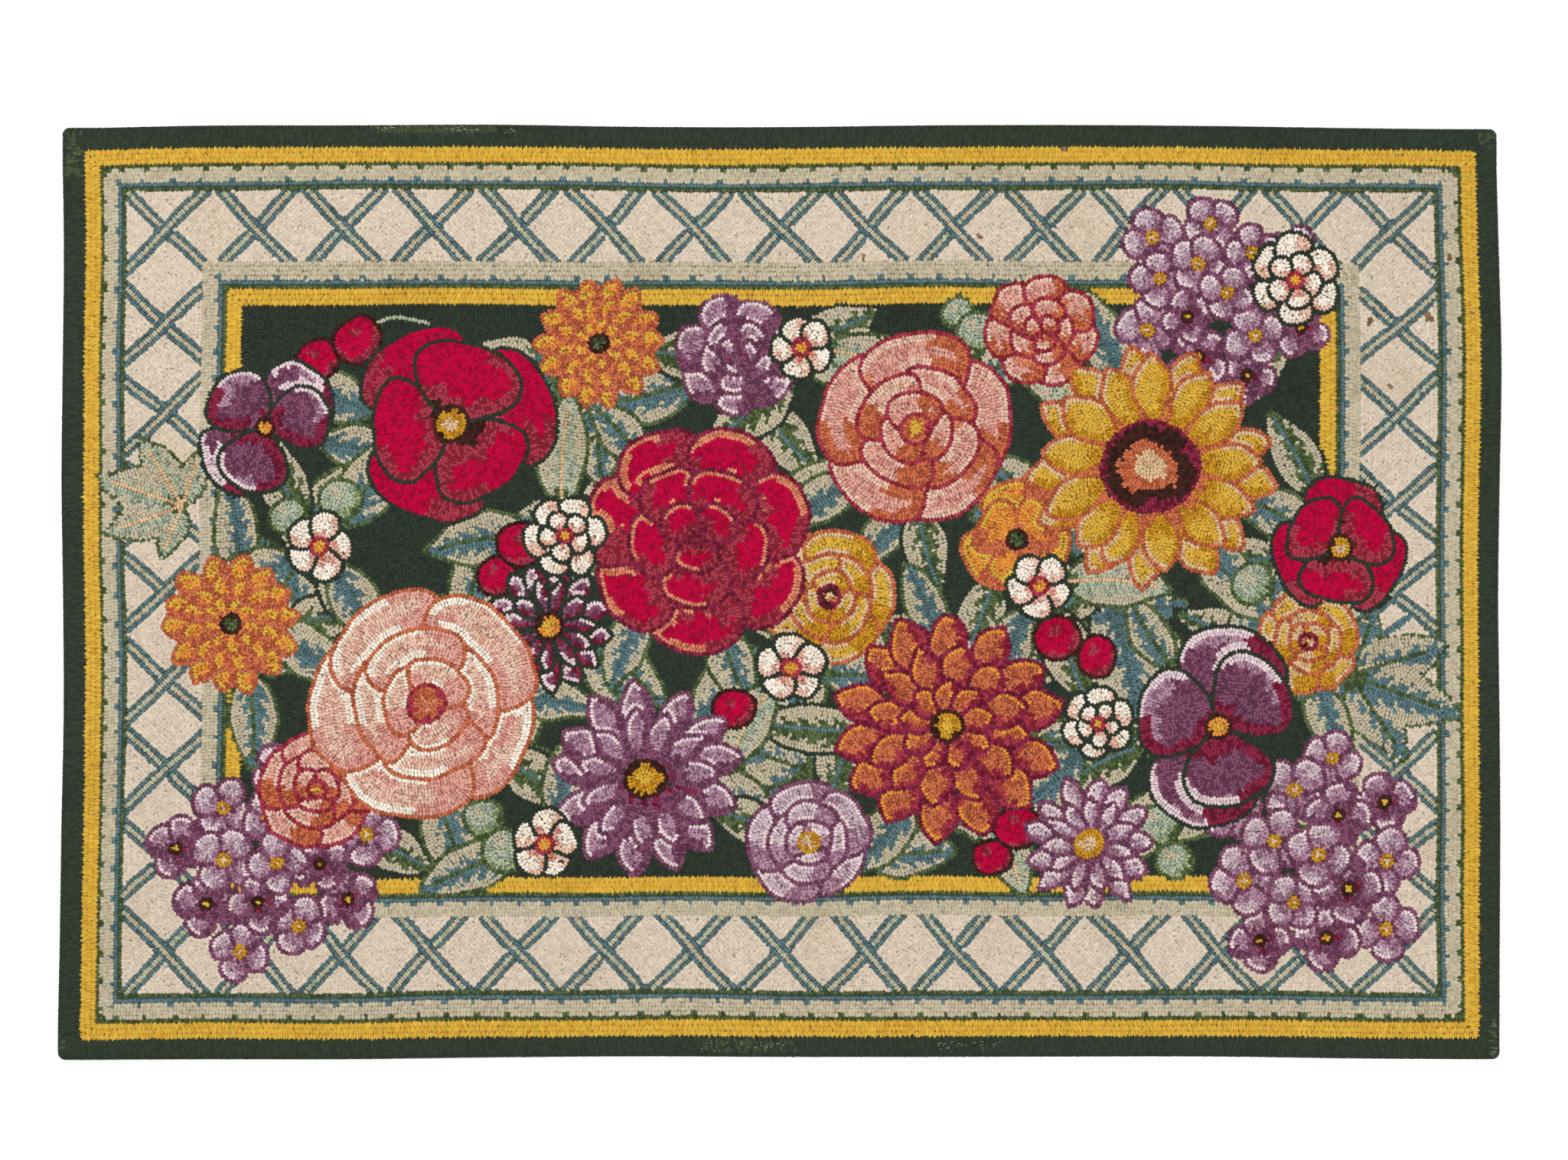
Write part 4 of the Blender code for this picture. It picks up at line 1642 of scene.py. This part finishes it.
class RugStage(bpy.types.PropertyGroup):
    """The studio round the rug."""

    camera_lens: FloatProperty(name="Camera lens", description="Focal length on a 36 mm sensor",
                               default=85.0, unit="CAMERA")
    sky: FloatProperty(name="Sky light", description="Strength of the even light from all round",
                       default=0.62, min=0.0)
    key: FloatProperty(name="Key light", description="Power of the large soft light",
                       default=213.0, min=0.0, unit="POWER")
    floor_size: FloatProperty(name="Floor size", description="Side of the paper under the rug",
                              default=9.0, unit="LENGTH")


# How far the foundation cloth ends inside the rug's edge, in millimetres.
CLOTH_INSET = 3.0
# How wide the folded hem shows underneath, in millimetres.
HEM = 22.0
# The cloth's cells, how much further in its corners are pulled in millimetres, and in metres
# the height of its underside, its thickness, and the height up to which points are underneath.
CLOTH_CELLS = (140, 91)
CLOTH_CORNER = 0.8
CLOTH_BOTTOM = 0.0008
CLOTH_THICKNESS = 0.0054
CLOTH_UNDER = 0.003
SHARP_DEG = 40
# The print underneath: how far apart the stitches that show as one are, in millimetres, and
# # how much they hide the cotton. Then the same reach for the painted shade on top, where the
# # pile's roots lie, and how much darker than the darkest yarn near it that shade is painted.
PRINT_REACH = 4
PRINT_SHARE = 0.75
ROOT_REACH = 9
ROOT_SHADE = 0.85
# How far single loops stray, in millimetres.
LOOP_STRAY = 0.30
# How far the maps of the tiles and of the edge reach past them, in metres.
TILE_MARGIN = 0.004
EDGE_MARGIN = 0.005


def round_corners(x, y, inset):
    """Pull places in the drawing's four corners inside its rounded outline."""
    centre_x, centre_y = DRAWN_LENGTH / 2 - CORNER_RADIUS, DRAWN_WIDTH / 2 - CORNER_RADIUS
    past_x, past_y = np.maximum(np.abs(x) - centre_x, 0), np.maximum(np.abs(y) - centre_y, 0)
    gone = np.maximum(np.hypot(past_x, past_y), CORNER_RADIUS - inset)
    share = np.where((past_x > 0) & (past_y > 0), (CORNER_RADIUS - inset) / gone, 1.0)
    return (np.where(share < 1, np.sign(x) * (centre_x + past_x * share), x),
            np.where(share < 1, np.sign(y) * (centre_y + past_y * share), y))


class RUG_OT_foundation(bpy.types.Operator):
    """Lay the cotton foundation cloth with its hem"""

    bl_idname = "rug.foundation"
    bl_label = "Foundation cloth"

    def execute(self, context):
        bpy.ops.object.select_all(action="DESELECT")
        cells_x, cells_y = CLOTH_CELLS
        bpy.ops.mesh.primitive_grid_add(x_subdivisions=cells_x, y_subdivisions=cells_y, size=1.0)
        cloth = context.object
        cloth.name = "foundation"
        cloth.data.name = "foundation"
        points = read_points(cloth.data).astype(float)
        drawn_x = points[:, 0] * (DRAWN_LENGTH - 2 * CLOTH_INSET)
        drawn_y = points[:, 1] * (DRAWN_WIDTH - 2 * CLOTH_INSET)
        drawn_x, drawn_y = round_corners(drawn_x, drawn_y, CLOTH_INSET + CLOTH_CORNER)
        points[:, 0], points[:, 1] = to_rug(drawn_x, drawn_y, edge_curves())
        points[:, 2] = CLOTH_BOTTOM
        cloth.data.vertices.foreach_set("co", points.astype(np.float32).ravel())
        cloth.data.update()
        bpy.ops.object.mode_set(mode="EDIT")
        bpy.ops.mesh.select_all(action="SELECT")
        bpy.ops.mesh.normals_make_consistent(inside=False)
        bpy.ops.object.mode_set(mode="OBJECT")
        solid = cloth.modifiers.new("Thickness", "SOLIDIFY")
        solid.thickness = CLOTH_THICKNESS
        solid.offset = 1.0
        bpy.ops.object.modifier_apply(modifier=solid.name)
        paint_foundation(cloth, context.scene.rug_yarns)
        flat_map(cloth, LOW, HIGH - LOW)
        cloth.data.shade_smooth()
        bpy.ops.object.shade_smooth_by_angle(angle=math.radians(SHARP_DEG))
        cloth.data.materials.append(get_material("Cotton foundation cloth", foundation_material))
        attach(cloth, BODY)
        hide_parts(CAD_RUG)
        return {"FINISHED"}


def near_colours(x, y, reach, mains):
    """The drawing's colours at nine places round each point, reach apart."""
    drawing = design()
    steps = (-reach, 0, reach)
    return [mains[drawn_yarns(x + off_x, y + off_y, *drawing)] for off_x in steps for off_y in steps]


def paint_foundation(cloth, yarns):
    """Colour the cloth: painted shade on top, in the darkest yarn near each point, and the design's
    stitches underneath.
    """
    points = read_points(cloth.data).astype(float)
    x, y = points[:, 0] / MM, points[:, 1] / MM
    under = points[:, 2] < CLOTH_UNDER
    mains = main_colours(yarns)
    # The stitches between two points of the cloth show as their mean.
    shown = np.mean(near_colours(x, y, PRINT_REACH, mains), axis=0)
    colours = PRINT_SHARE * shown + (1 - PRINT_SHARE) * linear(COTTON_COLOUR)
    # Painted shade: the top takes the darkest yarn near it, darkened further, so that the gaps
    #     # between loops look shaded and no light one shows among dark loops.
    painted_root_shade = np.minimum.reduce(near_colours(x, y, ROOT_REACH, mains))
    colours[~under] = ROOT_SHADE * painted_root_shade[~under]
    edge = np.minimum.reduce([np.abs(value) for value in edge_distances(x, y).values()]) < HEM
    colours[under & edge] = linear(COTTON_COLOUR)
    paint_points(cloth.data, colours)


class RUG_OT_pile(bpy.types.Operator):
    """Hook the looped wool pile, row by row along the drawing"""

    bl_idname = "rug.pile"
    bl_label = "Looped pile"

    def execute(self, context):
        sizes, settings = context.scene.rug_sizes, context.scene.rug_yarns
        loops, yarns, kinds = make_loops(sizes.row_pitch / MM)
        draw = np.random.default_rng(PILE_SEED)
        jitter = draw.normal(0, LOOP_STRAY, (len(loops), 2))
        x, y = to_rug(loops[:, 0] + jitter[:, 0], loops[:, 1] + jitter[:, 1], edge_curves())
        points = loop_mesh(x, y, loops[:, 2], kinds, sizes, draw)
        colours = yarn_colours(yarns, settings, draw)
        material = get_material("Hooked wool yarn", wool_yarn_material)
        tile = (HIGH - LOW) / np.array([sizes.tiles_along, sizes.tiles_across])
        column = np.clip(((x - LOW[0]) / tile[0]).astype(int), 0, sizes.tiles_along - 1)
        line = np.clip(((y - LOW[1]) / tile[1]).astype(int), 0, sizes.tiles_across - 1)
        for i in range(sizes.tiles_along):
            for j in range(sizes.tiles_across):
                mine = (column == i) & (line == j)
                co, triangles = joined(points[mine], LOOP_FACES)
                piece = mesh_from_arrays(f"pile_{i + 1}_{j + 1}", co, triangles,
                                         np.repeat(colours[mine], len(LOOP_POINTS), axis=0))
                flat_map(piece, LOW + tile * (i, j) - TILE_MARGIN, tile + 2 * TILE_MARGIN)
                piece.data.materials.append(material)
                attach(piece, BODY)
        return {"FINISHED"}


class RUG_OT_edge(bpy.types.Operator):
    """Whip the hem over with yarn all round"""

    bl_idname = "rug.edge"
    bl_label = "Whipped edge"

    def execute(self, context):
        sizes, settings = context.scene.rug_sizes, context.scene.rug_yarns
        draw = np.random.default_rng(EDGE_SEED)
        x, y, run_x, run_y = rim_line(sizes.whip_pitch, edge_curves())
        points, faces = whip_mesh(x, y, run_x, run_y, sizes, draw)
        co, triangles = joined(points, faces)
        yarns = np.full(len(x), YARN_NAMES.index("border green"))
        yarns = worn_yarns(x / MM, y / MM, yarns, draw)
        colours = yarn_colours(yarns, settings, draw)
        piece = mesh_from_arrays("whipped_edge", co, triangles,
                                 np.repeat(colours, points.shape[1], axis=0))
        flat_map(piece, LOW - EDGE_MARGIN, HIGH - LOW + 2 * EDGE_MARGIN)
        piece.data.materials.append(get_material("Hooked wool yarn", wool_yarn_material))
        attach(piece, BODY)
        return {"FINISHED"}


# The soft lights: their places and their shares of the key light's power, and their width.
LIGHTS = table("name place share",
    ("key_light", (-1.9, 1.6, 4.2), 1.0),
    ("fill_light", (2.2, -1.2, 4.2), 0.7))
LIGHT_WIDTH = 2.6
SENSOR_WIDTH = 36.0
# The height of what the camera's frame is fitted to.
SUBJECT_HEIGHT = 0.006


class RUG_OT_stage(bpy.types.Operator):
    """Set up the paper floor, the soft lights and the camera"""

    bl_idname = "rug.stage"
    bl_label = "Studio"

    def execute(self, context):
        stage = context.scene.rug_stage
        bpy.ops.object.select_all(action="DESELECT")
        bpy.ops.mesh.primitive_plane_add(size=stage.floor_size, location=(0, 0, 0))
        floor = context.object
        floor.name = "paper_floor"
        floor.data.materials.append(get_material("White background paper", paper_material))
        world = bpy.data.worlds.new("Studio")
        world.use_nodes = True
        backdrop = world.node_tree.nodes["Background"]
        backdrop.inputs["Color"].default_value = (1.0, 1.0, 1.0, 1.0)
        backdrop.inputs["Strength"].default_value = stage.sky
        context.scene.world = world
        for light in LIGHTS:
            data = bpy.data.lights.new(light["name"], "AREA")
            data.shape = "DISK"
            data.size = LIGHT_WIDTH
            data.energy = stage.key * light["share"]
            lamp = bpy.data.objects.new(light["name"], data)
            context.scene.collection.objects.link(lamp)
            lamp.location = light["place"]
            aim = -lamp.location.normalized()
            lamp.rotation_mode = "QUATERNION"
            lamp.rotation_quaternion = aim.to_track_quat("-Z", "Y")
        data = bpy.data.cameras.new("camera")
        data.sensor_width = SENSOR_WIDTH
        data.lens = stage.camera_lens
        camera = bpy.data.objects.new("camera", data)
        context.scene.collection.objects.link(camera)
        height = VIEW_WIDTH * data.lens / data.sensor_width
        camera.location = (*VIEW_CENTRE, height + SUBJECT_HEIGHT)
        context.scene.camera = camera
        context.scene.view_settings.view_transform = "Standard"
        return {"FINISHED"}


OPERATORS = (RUG_OT_pile, RUG_OT_foundation, RUG_OT_edge, RUG_OT_stage)


class RUG_PT_panel(bpy.types.Panel):
    """Lists the rug's pieces"""

    bl_idname = "RUG_PT_panel"
    bl_label = "Hooked Rug"
    bl_space_type = "VIEW_3D"
    bl_region_type = "UI"
    bl_category = "Hooked Rug"

    def draw(self, context):
        for operator in OPERATORS:
            self.layout.operator(operator.bl_idname)
        for name in ("rug_sizes", "rug_yarns", "rug_stage"):
            settings = getattr(context.scene, name)
            box = self.layout.box()
            for key in settings.bl_rna.properties.keys():
                if key not in ("rna_type", "name"):
                    box.prop(settings, key)


CLASSES = (RugSizes, RugYarns, RugStage, *OPERATORS, RUG_PT_panel)


def register():
    for entry in CLASSES:
        bpy.utils.register_class(entry)
    bpy.types.Scene.rug_sizes = PointerProperty(type=RugSizes)
    bpy.types.Scene.rug_yarns = PointerProperty(type=RugYarns)
    bpy.types.Scene.rug_stage = PointerProperty(type=RugStage)


def unregister():
    del bpy.types.Scene.rug_sizes
    del bpy.types.Scene.rug_yarns
    del bpy.types.Scene.rug_stage
    for entry in reversed(CLASSES):
        bpy.utils.unregister_class(entry)


def main():
    register()
    bpy.ops.rug.pile()
    bpy.ops.rug.foundation()
    bpy.ops.rug.edge()
    bpy.ops.rug.stage()


if __name__ == "__main__":
    main()
